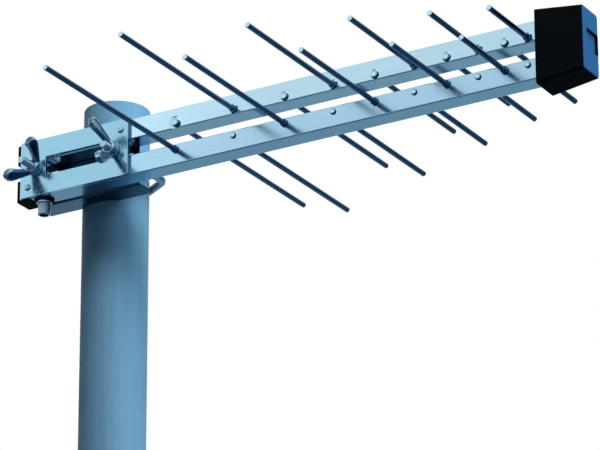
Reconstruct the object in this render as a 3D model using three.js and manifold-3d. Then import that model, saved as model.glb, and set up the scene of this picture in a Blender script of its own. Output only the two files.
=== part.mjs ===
// Log-periodic television antenna on a short length of mast.
// Two parallel square booms carry ten pairs of riveted rods. A plate in front and a channel
// behind are pulled together round the mast by a V-bolt and two wing nuts.
// Millimetres, +Z up. The origin is on the mast's axis at its foot, and +X runs along the booms
// to their front cover. Inside the antenna group the origin is on the booms' centreline, at the
// middle of the gap between them, beside the mast's axis.
import * as THREE from 'three';
import { mergeVertices } from 'three/addons/utils/BufferGeometryUtils.js';
import Module from 'manifold-3d';

const wasm = await Module();
wasm.setup();

// ---- driving dimensions -------------------------------------------------------------------

const FIT = 0.3;                 // running or seating clearance between two pieces

const MAST_DIAMETER = 50;
const MAST_WALL = 2.5;
const MAST_BELOW = 240;          // from the foot to the middle of the gap between the booms
const MAST_ABOVE = 58;           // from there to the mast's open top

const BOOM_SIDE = 16;            // square tube
const BOOM_WALL = 1.2;
const BOOM_CORNER = 1.0;         // outer corner radius
const BOOM_GAP = 12.5;           // between the two booms
const REAR_OVERHANG = 15.5;      // booms past the bolt's rear leg
const FRONT_OVERHANG = 36;       // booms past the shortest dipole

const ROD_DIAMETER = 4;
const ROD_INSET = 4.25;          // rod axis from the boom's face on the gap
const ROD_COLLAR = { rim: 1, length: 3.5, taper: 0.75 };   // rim past the rod; start of its taper
const ROD_HEAD = { rim: 0.8, height: 1.3 };
const ROD_CHAMFER = 0.3;
const FIRST_DIPOLE = 87;         // x of the longest dipole
// Cut list, longest first: distance from the first dipole, and half-length from the centreline.
const DIPOLES = [
  { step: 0, reach: 177 },
  { step: 49.5, reach: 158 },
  { step: 92.5, reach: 142 },
  { step: 133, reach: 126 },
  { step: 167, reach: 111 },
  { step: 199, reach: 99 },
  { step: 225, reach: 87 },
  { step: 250, reach: 78 },
  { step: 271, reach: 72 },
  { step: 289, reach: 65 },
];

const BOLT_DIAMETER = 6;         // M6 V-bolt
const BOLT_SIDE_ROOM = 6;        // from the mast's side to each leg
const BOLT_CORNER = 8;           // bend radius on the rod's centreline
const BOLT_SLOPE = Math.PI / 6;  // each side of the V against the x axis
const REAR_STAND = 17.5;         // from the rear wing nut's seat to that leg's end
const FRONT_STAND = 11;          // the same at the front leg, which stands out less

const JAW_WALL = 1.5;
const JAW_DEPTH = 19.4;          // from the web's outside to the flanges' tips
const JAW_GRIP = 6.2;            // how far the flanges reach round the mast's front
const JAW_OVERHANG = 1;          // above and below the booms
const JAW_END = 11;              // past each leg of the bolt
const JAW_SLOT = { inner: 9, outer: 7, room: 1 };      // room: height past the bolt's diameter

const PLATE_WALL = 2.5;
const PLATE_END = 13.5;          // past each leg of the bolt
const PLATE_MARGIN = 0.25;       // above and below the booms
const PLATE_CORNER = 1;
const WINDOW_END = 9;            // from each leg to the window
const WINDOW_MARGIN = 1;         // window above and below the gap
const PLATE_RIVET_END = 7;       // rivet past the leg
const RIVET = { shank: 3.2, head: 5.5, rise: 1.2, tail: 4.6, tailLength: 1.5 };

const WASHER = { rim: 3.5, thickness: 1.2 };           // rim: past the bolt
const NUT_HUB = { rim: 2.9, height: 4.4 };
const NUT_WING = { reach: 18.8, height: 22.9, crown: 4.3, thickness: 4.4 };
const NUT_CROWN = { from: -30, to: 155 };              // part of the crown's circle, in degrees
const NUT_FOOT = { into: 2, out: 1, below: 0.4 };      // where each wing grows out of the hub
const REAR_NUT_TURN = THREE.MathUtils.degToRad(49);
const FRONT_NUT_TURN = THREE.MathUtils.degToRad(103);

const CAP_FLANGE = 2.2;
const CAP_PLUG = 5;
const CAP_LIP = { room: 0.9, thickness: 1.1 };         // room: from its end to the gasket

const SOCKET_INSET = 16.7;       // socket axis from the booms' rear ends
const SOCKET = { barrel: 9.5, wall: 1.55, reach: 12.2, inside: 8.2, lid: 1.5, chamfer: 0.4 };
const SOCKET_FLANGE = { rim: 1.25, height: 1.4 };
const SOCKET_RECESS = 4.8;       // from the open end to the insulator
const GASKET = { inset: 0.2, thickness: 1.1 };         // inset: from the boom's sides to its rim
const SOCKET_NUT = { rim: 0.85, height: 2.3 };
const CONTACT = { diameter: 2, bore: 1, depth: 6, tail: 1 };

const COAX_DIAMETER = 5;
const COAX_STRIP = 8;            // the sheath ends this far inside the boom's front end
const COAX_RISE = 4.7;           // how much higher the cable leaves the socket
const COAX_DROP = { after: 17.8, run: 55 };
const WIRE_DIAMETER = 1.6;
const WIRE_BEND = 4;

const COVER = { overlap: 27.5, length: 36.5, wall: 1.8, nose: 4, corner: 2.2, noseRound: 1.2 };
const COVER_ROOM = { rearSide: 5.5, frontSide: 4, rearRise: 6.25, frontRise: 1.9 };  // past the booms
const COVER_POCKET = { depth: 2.3, height: 15.5, left: 0.26, right: 0.97, middle: 0.51 };
const COVER_RIBS = { stations: [5, 23], thickness: 2, shortfall: 2.25 };

const SPACER = { inset: 25, length: 15 };
const SPACER_BITE = 5;           // screw length inside the spacer
const SCREW = { shank: 3, point: 0.8, head: 5.6, rise: 2, edge: 0.8, wallRoom: 0.5 };
const LUG = { width: 7, thickness: 0.8, inside: 10, drop: 4.5, wireRise: 3.6, screwGrip: 4 };

// ---- sizes worked out from them ------------------------------------------------------------

const mastRadius = MAST_DIAMETER / 2;
const boltRadius = BOLT_DIAMETER / 2;
const legX = mastRadius + BOLT_SIDE_ROOM + boltRadius;
const rivetX = legX + PLATE_RIVET_END;
const boomRear = -(legX + REAR_OVERHANG);
const boomFront = FIRST_DIPOLE + DIPOLES.at(-1).step + FRONT_OVERHANG;
const boomHalf = BOOM_SIDE / 2;
const halfGap = BOOM_GAP / 2;
const boomCentre = halfGap + boomHalf;          // height of each boom's axis off the middle
const boomOuter = halfGap + BOOM_SIDE;          // height of each boom's far face
const jawFront = mastRadius + FIT - JAW_GRIP + JAW_DEPTH;     // web's outside, from the mast axis
const boomOffset = jawFront + FIT + boomHalf;   // booms' centreline in front of the mast axis
const rodRadius = ROD_DIAMETER / 2;
const rodHeight = halfGap + ROD_INSET;
const hubRadius = boltRadius + NUT_HUB.rim;
const washerRadius = boltRadius + WASHER.rim;
const plateBack = -(boomHalf + FIT);
const plateFront = plateBack - PLATE_WALL;
const washerFront = plateFront - FIT - WASHER.thickness;
const nutSeat = washerFront - FIT;
const rearLegEnd = nutSeat - REAR_STAND;
const frontLegEnd = nutSeat - FRONT_STAND;
const innerFloor = -(boomOuter - BOOM_WALL);    // inside of the lower boom's bottom wall
const socketX = boomRear + SOCKET_INSET;
const gasketRadius = boomHalf - GASKET.inset;
const screwX = boomFront - SPACER.inset + SPACER.length / 2;
const screwSide = boomHalf - BOOM_WALL - SCREW.wallRoom - SCREW.shank / 2;
const lugScrewX = boomFront - LUG.inside / 2;
const lugFace = boomFront + FIT;

const ROUND = 10;                // sides of the small round pieces
const FINE = 24;                 // sides of the larger round pieces
const SMOOTH = 48;               // sides of the mast
const CABLE_SIDES = 8;
const BOLT_STEPS = 66;           // stations along each swept rod
const CABLE_STEPS = 50;
const WIRE_STEPS = 24;
const CROWN = { ring: 0.6, rise: 0.85 };  // a domed head's middle ring: share of radius and of height
const CORNER_POINTS = 5;         // points round each of the cover's corners

// ---- making solids -------------------------------------------------------------------------

/** A closed three.js geometry as a manifold-3d solid. */
function toManifold(geometry) {
  const plain = geometry.clone();
  plain.deleteAttribute('normal');
  plain.deleteAttribute('uv');
  const merged = mergeVertices(plain, 1e-4);
  return new wasm.Manifold(new wasm.Mesh({
    numProp: 3,
    vertProperties: new Float32Array(merged.attributes.position.array),
    triVerts: new Uint32Array(merged.index.array),
  }));
}

/** A manifold-3d solid as a three.js geometry. */
function toGeometry(manifold) {
  const mesh = manifold.getMesh();
  const geometry = new THREE.BufferGeometry();
  geometry.setAttribute('position', new THREE.BufferAttribute(mesh.vertProperties, 3));
  geometry.setIndex(new THREE.BufferAttribute(mesh.triVerts, 1));
  geometry.computeVertexNormals();
  return geometry;
}

/** The first geometry with all the others cut out of it. */
function cut(geometry, ...tools) {
  let solid = toManifold(geometry);
  for (const tool of tools) solid = solid.subtract(toManifold(tool));
  return toGeometry(solid);
}

/** All the geometries joined into one. */
function join(...pieces) {
  let solid = toManifold(pieces[0]);
  for (const piece of pieces.slice(1)) solid = solid.add(toManifold(piece));
  return toGeometry(solid);
}

/** The part that two geometries share. */
function overlap(first, second) {
  return toGeometry(toManifold(first).intersect(toManifold(second)));
}

/** Radius of a faceted bore whose flats clear a round shaft by FIT. */
function boreRadius(shaftRadius, sides = ROUND) {
  return (shaftRadius + FIT) / Math.cos(Math.PI / sides);
}

/** A cylinder along y between two stations. */
function rodY(radius, start, end, x = 0, z = 0, sides = ROUND) {
  const geometry = new THREE.CylinderGeometry(radius, radius, end - start, sides);
  return geometry.translate(x, (start + end) / 2, z);
}

/** A cylinder along z between two heights. */
function rodZ(radius, bottom, top, x = 0, y = 0, sides = ROUND) {
  const geometry = new THREE.CylinderGeometry(radius, radius, top - bottom, sides);
  return geometry.rotateX(Math.PI / 2).translate(x, y, (bottom + top) / 2);
}

/** A solid of revolution about y; each point is [radius, y], from the axis back to the axis. */
function turned(profile, sides = ROUND) {
  return new THREE.LatheGeometry(profile.map(([r, y]) => new THREE.Vector2(r, y)), sides);
}

/** A block between two corners. */
function block(low, high) {
  const size = high.map((value, axis) => value - low[axis]);
  const middle = high.map((value, axis) => (value + low[axis]) / 2);
  return new THREE.BoxGeometry(...size).translate(...middle);
}

/** A rectangle with rounded corners as a shape or a hole. */
function roundedRectangle(width, height, radius, x = 0, y = 0, Kind = THREE.Shape) {
  const [left, right] = [x - width / 2, x + width / 2];
  const [low, high] = [y - height / 2, y + height / 2];
  const outline = new Kind();
  outline.moveTo(left + radius, low);
  outline.lineTo(right - radius, low);
  outline.absarc(right - radius, low + radius, radius, -Math.PI / 2, 0, false);
  outline.lineTo(right, high - radius);
  outline.absarc(right - radius, high - radius, radius, 0, Math.PI / 2, false);
  outline.lineTo(left + radius, high);
  outline.absarc(left + radius, high - radius, radius, Math.PI / 2, Math.PI, false);
  outline.lineTo(left, low + radius);
  outline.absarc(left + radius, low + radius, radius, Math.PI, Math.PI * 1.5, false);
  return outline;
}

/** A shape drawn in (y, z) and drawn out along x from start to end. */
function alongX(shape, start, end, curveSegments = 1) {
  const geometry = new THREE.ExtrudeGeometry(shape, {
    depth: end - start, bevelEnabled: false, curveSegments,
  });
  const yzx = new THREE.Matrix4().makeBasis(
    new THREE.Vector3(0, 1, 0), new THREE.Vector3(0, 0, 1), new THREE.Vector3(1, 0, 0),
  );
  return geometry.applyMatrix4(yzx).translate(start, 0, 0);
}

/** A shape drawn in (x, z) and drawn out along -y from back to front. */
function towardsFront(shape, back, front, curveSegments = 6) {
  const geometry = new THREE.ExtrudeGeometry(shape, {
    depth: back - front, bevelEnabled: false, curveSegments,
  });
  return geometry.rotateX(Math.PI / 2).translate(0, back, 0);
}

/** A two-dimensional path laid into a plane of the group: xy for 'flat', xz for 'upright'. */
class PlanarCurve extends THREE.Curve {
  constructor(path, plane) {
    super();
    this.path = path;
    this.plane = plane;
  }

  getPoint(t, target = new THREE.Vector3()) {
    const { x, y } = this.path.getPoint(t);
    return this.plane === 'flat' ? target.set(x, y, 0) : target.set(x, 0, y);
  }
}

/** A round rod swept along a curve. */
function swept(curve, radius, steps, sides) {
  const section = new THREE.Shape();
  section.absarc(0, 0, radius, 0, Math.PI * 2, false);
  return new THREE.ExtrudeGeometry(section, {
    steps, curveSegments: sides / 2, bevelEnabled: false, extrudePath: curve,
  });
}

/** A skin through rings of equal length, closed by flat ends; each ring is a list of Vector3. */
function lofted(rings) {
  const count = rings[0].length;
  const positions = rings.flat().flatMap((point) => [point.x, point.y, point.z]);
  const index = [];
  for (let ring = 0; ring + 1 < rings.length; ring += 1) {
    for (let side = 0; side < count; side += 1) {
      const next = (side + 1) % count;
      const [a, b] = [ring * count + side, ring * count + next];
      index.push(a, b, b + count, a, b + count, a + count);
    }
  }
  const last = (rings.length - 1) * count;
  for (let side = 1; side + 1 < count; side += 1) {
    index.push(0, side + 1, side);
    index.push(last, last + side, last + side + 1);
  }
  const geometry = new THREE.BufferGeometry();
  geometry.setAttribute('position', new THREE.Float32BufferAttribute(positions, 3));
  geometry.setIndex(index);
  return geometry;
}

// ---- finishes ------------------------------------------------------------------------------

const FINISHES = {
  aluminium: { color: 0xb9c6cc, roughness: 0.38, metalness: 0.9 },
  rod: { color: 0x9aa8b2, roughness: 0.35, metalness: 0.9 },
  zinc: { color: 0xa9c3cf, roughness: 0.42, metalness: 0.85 },
  steel: { color: 0x8f9ba3, roughness: 0.35, metalness: 0.9 },
  plastic: { color: 0x14161a, roughness: 0.5, metalness: 0 },
  rubber: { color: 0x1c1c1e, roughness: 0.8, metalness: 0 },
  nickel: { color: 0xc8ccd0, roughness: 0.2, metalness: 1 },
  brass: { color: 0xc9a648, roughness: 0.3, metalness: 1 },
  copper: { color: 0xc9744a, roughness: 0.3, metalness: 1 },
  nylon: { color: 0xe7e4da, roughness: 0.5, metalness: 0 },
  sheath: { color: 0xeeeeea, roughness: 0.5, metalness: 0 },
  mast: { color: 0x7f97a6, roughness: 0.5, metalness: 0.6 },
};

/** A named mesh in its own material. */
function piece(name, geometry, finish) {
  const mesh = new THREE.Mesh(geometry, new THREE.MeshStandardMaterial(FINISHES[finish]));
  mesh.name = name;
  return mesh;
}

// ---- mast ----------------------------------------------------------------------------------

/** The open tube that the antenna is clamped to, standing on its foot. */
function mastTube() {
  const height = MAST_BELOW + MAST_ABOVE;
  const bore = mastRadius - MAST_WALL;
  const wall = turned([[bore, 0], [mastRadius, 0], [mastRadius, height], [bore, height], [bore, 0]],
    SMOOTH);
  return piece('mast_tube', wall.rotateX(Math.PI / 2), 'mast');
}

// ---- booms and rods ------------------------------------------------------------------------

/** One boom's square tube, up for the upper one, with every hole that passes through it. */
function boomTube(up) {
  const shape = roundedRectangle(BOOM_SIDE, BOOM_SIDE, BOOM_CORNER);
  const inner = BOOM_SIDE - 2 * BOOM_WALL;
  shape.holes.push(roundedRectangle(inner, inner, BOOM_CORNER / 3, 0, 0, THREE.Path));
  const tube = alongX(shape, boomRear, boomFront).translate(0, 0, up * boomCentre);

  const through = boomHalf + 1;
  const tools = DIPOLES.map(({ step }) => rodY(boreRadius(rodRadius), -through, through,
    FIRST_DIPOLE + step, up * rodHeight));
  tools.push(rodY(boreRadius(RIVET.shank / 2), -through, 0, up * rivetX, up * boomCentre));
  const [low, high] = [Math.min(0, up * (boomOuter + 1)), Math.max(0, up * (boomOuter + 1))];
  tools.push(rodZ(boreRadius(SCREW.shank / 2), low, high, screwX, up * screwSide));
  return { tube, tools };
}

/** The upper boom, with the hole of the feed lug's screw. */
function upperBoom() {
  const { tube, tools } = boomTube(1);
  tools.push(rodZ(boreRadius(SCREW.shank / 2), 0, boomCentre, lugScrewX, 0));
  return piece('upper_boom', cut(tube, ...tools), 'aluminium');
}

/** The lower boom, with the socket's hole in its bottom wall. */
function lowerBoom() {
  const { tube, tools } = boomTube(-1);
  tools.push(rodZ(boreRadius(SOCKET.barrel / 2), -boomOuter - 1, -boomCentre, socketX, 0));
  return piece('lower_boom', cut(tube, ...tools), 'aluminium');
}

/** One rod: tip, collar on the boom, shank through it and a peened head, standing out along y. */
function dipoleRod(name, x, z, reach, outward) {
  const radius = rodRadius;
  const collar = radius + ROD_COLLAR.rim;
  const head = radius + ROD_HEAD.rim;
  const face = boomHalf + FIT;
  const rod = turned([
    [0, -face - ROD_HEAD.height],
    [head * CROWN.ring, -face - ROD_HEAD.height * CROWN.rise],
    [head, -face],
    [radius, -face],
    [radius, face],
    [collar, face],
    [collar, face + ROD_COLLAR.length * ROD_COLLAR.taper],
    [radius, face + ROD_COLLAR.length],
    [radius, reach - ROD_CHAMFER],
    [radius - ROD_CHAMFER, reach],
    [0, reach],
  ]);
  const mesh = piece(name, rod, 'rod');
  mesh.position.set(x, 0, z);
  if (outward < 0) mesh.rotation.x = Math.PI;
  return mesh;
}

/** All twenty rods. The halves of each dipole change booms from one dipole to the next. */
function dipoleRods() {
  return DIPOLES.flatMap(({ step, reach }, index) => {
    const x = FIRST_DIPOLE + step;
    const frontHeight = index % 2 === 0 ? -rodHeight : rodHeight;
    const label = `d${String(index + 1).padStart(2, '0')}`;
    return [
      dipoleRod(`${label}_front_rod`, x, frontHeight, reach, -1),
      dipoleRod(`${label}_rear_rod`, x, -frontHeight, reach, 1),
    ];
  });
}

/** The plug and flange that close one boom's rear end; the lower one has a lip under the boom. */
function rearCap(name, up, withLip) {
  const plugSide = BOOM_SIDE - 2 * BOOM_WALL - 2 * FIT;
  const flangeFace = boomRear - FIT;
  let geometry = join(
    alongX(roundedRectangle(BOOM_SIDE, BOOM_SIDE, BOOM_CORNER), flangeFace - CAP_FLANGE, flangeFace),
    alongX(roundedRectangle(plugSide, plugSide, BOOM_CORNER), flangeFace - 1, boomRear + CAP_PLUG),
  );
  if (withLip) {
    const top = -boomHalf - FIT;
    geometry = join(geometry,
      block([flangeFace - CAP_FLANGE, -boomHalf, top - CAP_LIP.thickness],
        [flangeFace, boomHalf, -boomHalf + BOOM_CORNER * 2]),
      block([flangeFace - CAP_FLANGE, -boomHalf, top - CAP_LIP.thickness],
        [socketX - gasketRadius - CAP_LIP.room, boomHalf, top]));
  }
  const mesh = piece(name, geometry, 'plastic');
  mesh.position.z = up * boomCentre;
  return mesh;
}

// ---- clamp ---------------------------------------------------------------------------------

/** The flat plate on the front of both booms, with its window and the legs' holes. */
function clampPlate() {
  const shape = roundedRectangle(2 * (legX + PLATE_END), 2 * (boomOuter + PLATE_MARGIN), PLATE_CORNER);
  const window = 2 * (legX - WINDOW_END);
  shape.holes.push(roundedRectangle(window, BOOM_GAP + 2 * WINDOW_MARGIN, 0.5, 0, 0, THREE.Path));
  const plate = towardsFront(shape, plateBack, plateFront, 2);
  const reach = [plateFront - 1, plateBack + 1];
  const tools = [-legX, legX].map((x) => rodY(boreRadius(boltRadius), ...reach, x, 0));
  for (const side of [-1, 1]) {
    tools.push(rodY(boreRadius(RIVET.shank / 2), ...reach, side * rivetX, side * boomCentre));
  }
  return piece('clamp_plate', cut(plate, ...tools), 'zinc');
}

/** A rivet through the plate and the boom's front wall; its head faces the front. */
function plateRivet(name, side) {
  const grip = PLATE_WALL + 3 * FIT + BOOM_WALL;
  const rivet = turned([
    [0, RIVET.rise],
    [RIVET.head / 2 * CROWN.ring, RIVET.rise * CROWN.rise],
    [RIVET.head / 2, 0],
    [RIVET.shank / 2, 0],
    [RIVET.shank / 2, -grip],
    [RIVET.tail / 2, -grip],
    [RIVET.tail / 2, -grip - RIVET.tailLength],
    [0, -grip - RIVET.tailLength],
  ].reverse());
  const mesh = piece(name, rivet, 'steel');
  mesh.position.set(side * rivetX, plateFront - FIT, side * boomCentre);
  mesh.rotation.x = Math.PI;
  return mesh;
}

/** The channel between booms and mast: its web lies on the booms, its flanges bear on the mast. */
function mastJaw() {
  const half = boomOuter + JAW_OVERHANG;
  const length = legX + JAW_END;
  const webBack = boomHalf + FIT;
  const tips = webBack + JAW_DEPTH;
  const outer = block([-length, webBack, -half], [length, tips, half]);
  const hollow = block([-length - 1, webBack + JAW_WALL, -half + JAW_WALL],
    [length + 1, tips + 1, half - JAW_WALL]);
  const notch = rodZ(mastRadius + FIT, -half - 1, half + 1, 0, boomOffset, SMOOTH);
  const slots = [-1, 1].map((side) => {
    const [width, height] = [JAW_SLOT.inner + JAW_SLOT.outer, BOLT_DIAMETER + JAW_SLOT.room];
    const middle = side * (legX + (JAW_SLOT.outer - JAW_SLOT.inner) / 2);
    const slot = roundedRectangle(width, height, height / 2 - 0.1, middle, 0);
    return towardsFront(slot, webBack + JAW_WALL + 1, webBack - 1, 4);
  });
  return piece('mast_jaw', cut(outer, hollow, notch, ...slots), 'zinc');
}

/** The V-bolt: two threaded legs, a bend at each corner and a bow that hugs the mast's back. */
function vBolt() {
  const bow = mastRadius + FIT + boltRadius;
  const tangent = Math.PI / 2 - BOLT_SLOPE;
  const bowEnd = new THREE.Vector2(bow * Math.cos(tangent), bow * Math.sin(tangent));
  const cornerY = bowEnd.y - (legX - bowEnd.x) * Math.tan(BOLT_SLOPE);
  const turn = Math.PI / 2 - BOLT_SLOPE;
  const bendStart = cornerY - BOLT_CORNER * Math.tan(turn / 2);
  const path = new THREE.Path();
  path.moveTo(legX, frontLegEnd - boomOffset);
  path.lineTo(legX, bendStart);
  path.absarc(legX - BOLT_CORNER, bendStart, BOLT_CORNER, 0, turn, false);
  path.lineTo(bowEnd.x, bowEnd.y);
  path.absarc(0, 0, bow, tangent, Math.PI - tangent, false);
  path.lineTo(-(legX - BOLT_CORNER * (1 - Math.cos(turn))), bendStart + BOLT_CORNER * Math.sin(turn));
  path.absarc(-(legX - BOLT_CORNER), bendStart, BOLT_CORNER, Math.PI - turn, Math.PI, false);
  path.lineTo(-legX, rearLegEnd - boomOffset);
  const bolt = swept(new PlanarCurve(path, 'flat'), boltRadius, BOLT_STEPS, ROUND);
  const mesh = piece('v_bolt', bolt, 'steel');
  mesh.position.y = boomOffset;
  return mesh;
}

/** A flat washer under a wing nut. */
function washer(name, side) {
  const hole = boreRadius(boltRadius);
  const ring = cut(rodY(washerRadius, washerFront, washerFront + WASHER.thickness, 0, 0, FINE),
    rodY(hole, washerFront - 1, plateFront));
  const mesh = piece(name, ring, 'steel');
  mesh.position.x = side * legX;
  return mesh;
}

/** A cast wing nut: a low round hub and two thick paddles in one plane. Its own axis is z. */
function wingNutSolid() {
  const { reach, height, crown, thickness } = NUT_WING;
  const { into, out, below } = NUT_FOOT;
  const [start, end] = [NUT_CROWN.from, NUT_CROWN.to].map(THREE.MathUtils.degToRad);
  const paddle = new THREE.Shape();
  paddle.moveTo(hubRadius - into, 0);
  paddle.lineTo(hubRadius + out, 0);
  paddle.absarc(reach - crown, height - crown, crown, start, end, false);
  paddle.lineTo(hubRadius - into, NUT_HUB.height - below);
  const wing = towardsFront(paddle, thickness / 2, -thickness / 2, 9);
  const otherWing = wing.clone().rotateZ(Math.PI);
  const hub = rodZ(hubRadius, 0, NUT_HUB.height, 0, 0, FINE);
  const bore = rodZ(boreRadius(boltRadius), -1, height + 1);
  return cut(join(hub, wing, otherWing), bore);
}

/** A wing nut on one leg, turned by an angle about the leg. */
function wingNut(name, side, turn) {
  const mesh = piece(name, wingNutSolid(), 'zinc');
  mesh.position.set(side * legX, nutSeat, 0);
  mesh.quaternion.setFromRotationMatrix(new THREE.Matrix4().makeBasis(
    new THREE.Vector3(Math.cos(turn), 0, Math.sin(turn)),
    new THREE.Vector3(-Math.sin(turn), 0, Math.cos(turn)),
    new THREE.Vector3(0, -1, 0),
  ));
  return mesh;
}

// ---- socket and cable ----------------------------------------------------------------------

const socketFace = -boomOuter - FIT - GASKET.thickness - FIT;    // flange's top
const socketEnd = -boomOuter - SOCKET.reach;
const socketTop = innerFloor + SOCKET.inside;
const socketBore = SOCKET.barrel / 2 - SOCKET.wall;

/** The gasket between the lower boom and the socket's flange. */
function socketGasket() {
  const top = -boomOuter - FIT;
  const bottom = top - GASKET.thickness;
  const ring = cut(rodZ(gasketRadius, bottom, top, 0, 0, FINE),
    rodZ(boreRadius(SOCKET.barrel / 2, FINE), bottom - 1, top + 1, 0, 0, FINE));
  const mesh = piece('socket_gasket', ring, 'rubber');
  mesh.position.x = socketX;
  return mesh;
}

/** The threaded aerial socket, pointing down, open at its lower end. */
function coaxSocket() {
  const barrel = SOCKET.barrel / 2;
  const tailHole = CONTACT.diameter / 2 + 2 * FIT;
  const body = turned([
    [socketBore, socketEnd],
    [barrel - SOCKET.chamfer, socketEnd],
    [barrel, socketEnd + SOCKET.chamfer],
    [barrel, socketFace - SOCKET_FLANGE.height],
    [barrel + SOCKET_FLANGE.rim, socketFace - SOCKET_FLANGE.height],
    [barrel + SOCKET_FLANGE.rim, socketFace],
    [barrel, socketFace],
    [barrel, socketTop],
    [tailHole, socketTop],
    [tailHole, socketTop - SOCKET.lid],
    [socketBore, socketTop - SOCKET.lid],
    [socketBore, socketEnd],
  ], FINE);
  const mesh = piece('coax_socket', body.rotateX(Math.PI / 2), 'nickel');
  mesh.position.x = socketX;
  return mesh;
}

/** The white insulator inside the socket, bored for the contact. */
function socketInsulator() {
  const radius = socketBore - FIT;
  const bore = CONTACT.diameter / 2 + FIT;
  const [bottom, top] = [socketEnd + SOCKET_RECESS, socketTop - SOCKET.lid - FIT];
  const ring = turned([[bore, bottom], [radius, bottom], [radius, top], [bore, top], [bore, bottom]], FINE);
  const mesh = piece('socket_insulator', ring.rotateX(Math.PI / 2), 'nylon');
  mesh.position.x = socketX;
  return mesh;
}

/** The spring contact in the insulator, open at its lower end, with its tail above the socket. */
function socketContact() {
  const [bottom, top] = [socketEnd + SOCKET_RECESS, socketTop + CONTACT.tail];
  const [outer, bore] = [CONTACT.diameter / 2, CONTACT.bore / 2];
  const end = bottom + CONTACT.depth;
  const sleeve = turned([[0, end], [bore, end], [bore, bottom], [outer, bottom], [outer, top], [0, top]]);
  const mesh = piece('socket_contact', sleeve.rotateX(Math.PI / 2), 'brass');
  mesh.position.x = socketX;
  return mesh;
}

/** The hexagon nut that holds the socket, inside the boom, two flats along its side walls. */
function socketNut() {
  const bottom = innerFloor + FIT;
  const corner = (SOCKET.barrel / 2 + SOCKET_NUT.rim) / Math.cos(Math.PI / 6);
  const nut = cut(rodZ(corner, bottom, bottom + SOCKET_NUT.height, 0, 0, 6),
    rodZ(boreRadius(SOCKET.barrel / 2, FINE), bottom - 1, bottom + SOCKET_NUT.height + 1, 0, 0, FINE));
  const mesh = piece('socket_nut', nut, 'nickel');
  mesh.position.x = socketX;
  mesh.rotation.z = Math.PI / 6;
  return mesh;
}

const coaxLow = innerFloor + FIT + COAX_DIAMETER / 2;

/** The cable in the lower boom: out of the socket's side, down to the floor and along it. */
function coaxCable() {
  const high = coaxLow + COAX_RISE;
  const dropStart = socketX + COAX_DROP.after;
  const dropEnd = dropStart + COAX_DROP.run;
  const middle = (dropStart + dropEnd) / 2;
  const path = new THREE.Path();
  path.moveTo(socketX + SOCKET.barrel / 2 + FIT, high);
  path.lineTo(dropStart, high);
  path.bezierCurveTo(middle, high, middle, coaxLow, dropEnd, coaxLow);
  path.lineTo(boomFront - COAX_STRIP, coaxLow);
  const cable = swept(new PlanarCurve(path, 'upright'), COAX_DIAMETER / 2, CABLE_STEPS, CABLE_SIDES);
  return piece('coax_cable', cable, 'sheath');
}

// ---- front feed and cover ------------------------------------------------------------------

/** The cable's bared conductor: out of the lower boom and up to the lug on the upper one. */
function feedWire() {
  const x = lugFace + LUG.thickness + FIT + WIRE_DIAMETER / 2;
  const path = new THREE.Path();
  path.moveTo(boomFront - COAX_STRIP + FIT, coaxLow);
  path.lineTo(x - WIRE_BEND, coaxLow);
  path.absarc(x - WIRE_BEND, coaxLow + WIRE_BEND, WIRE_BEND, -Math.PI / 2, 0, false);
  path.lineTo(x, halfGap + LUG.wireRise);
  const wire = swept(new PlanarCurve(path, 'upright'), WIRE_DIAMETER / 2, WIRE_STEPS, CABLE_SIDES);
  return piece('feed_wire', wire, 'copper');
}

/** The bent tag that takes the wire: one leg inside the upper boom, one down its front. */
function feedLug() {
  const floor = halfGap + BOOM_WALL + FIT;
  const inside = block([boomFront - LUG.inside, -LUG.width / 2, floor],
    [lugFace + LUG.thickness, LUG.width / 2, floor + LUG.thickness]);
  const face = block([lugFace, -LUG.width / 2, halfGap - LUG.drop],
    [lugFace + LUG.thickness, LUG.width / 2, floor + LUG.thickness]);
  const hole = rodZ(boreRadius(SCREW.shank / 2), 0, boomOuter, lugScrewX, 0);
  return piece('feed_lug', cut(join(inside, face), hole), 'brass');
}

/** The spacer that keeps the booms apart inside the cover. */
function feedSpacer() {
  const half = halfGap - FIT;
  const rear = boomFront - SPACER.inset;
  const body = block([rear, -boomHalf, -half], [rear + SPACER.length, boomHalf, half]);
  const upper = rodZ(boreRadius(SCREW.shank / 2), half - SPACER_BITE - FIT, half + 1, screwX, screwSide);
  const lower = rodZ(boreRadius(SCREW.shank / 2), -half - 1, -half + SPACER_BITE + FIT, screwX,
    -screwSide);
  return piece('feed_spacer', cut(body, upper, lower), 'nylon');
}

/** A round-headed screw of a given length, head up, at the origin under its head. */
function screwSolid(length) {
  const { shank, point, head, rise, edge } = SCREW;
  return turned([
    [0, -length], [shank / 2 * CROWN.ring, -length], [shank / 2, -length + point], [shank / 2, 0],
    [head / 2, 0], [head / 2, edge], [head / 2 * CROWN.ring, rise * CROWN.rise], [0, rise],
  ]).rotateX(Math.PI / 2);
}

/** The screw through one boom into the spacer. */
function spacerScrew(name, up) {
  const length = boomOuter + FIT - (halfGap - FIT - SPACER_BITE);
  const mesh = piece(name, screwSolid(length), 'steel');
  mesh.position.set(screwX, up * screwSide, up * (boomOuter + FIT));
  if (up < 0) mesh.rotation.x = Math.PI;
  return mesh;
}

/** The screw that holds the lug, put in from the gap. */
function lugScrew() {
  const mesh = piece('lug_screw', screwSolid(BOOM_WALL + LUG.thickness + LUG.screwGrip), 'steel');
  mesh.position.set(lugScrewX, 0, halfGap - FIT);
  mesh.rotation.x = Math.PI;
  return mesh;
}

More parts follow.
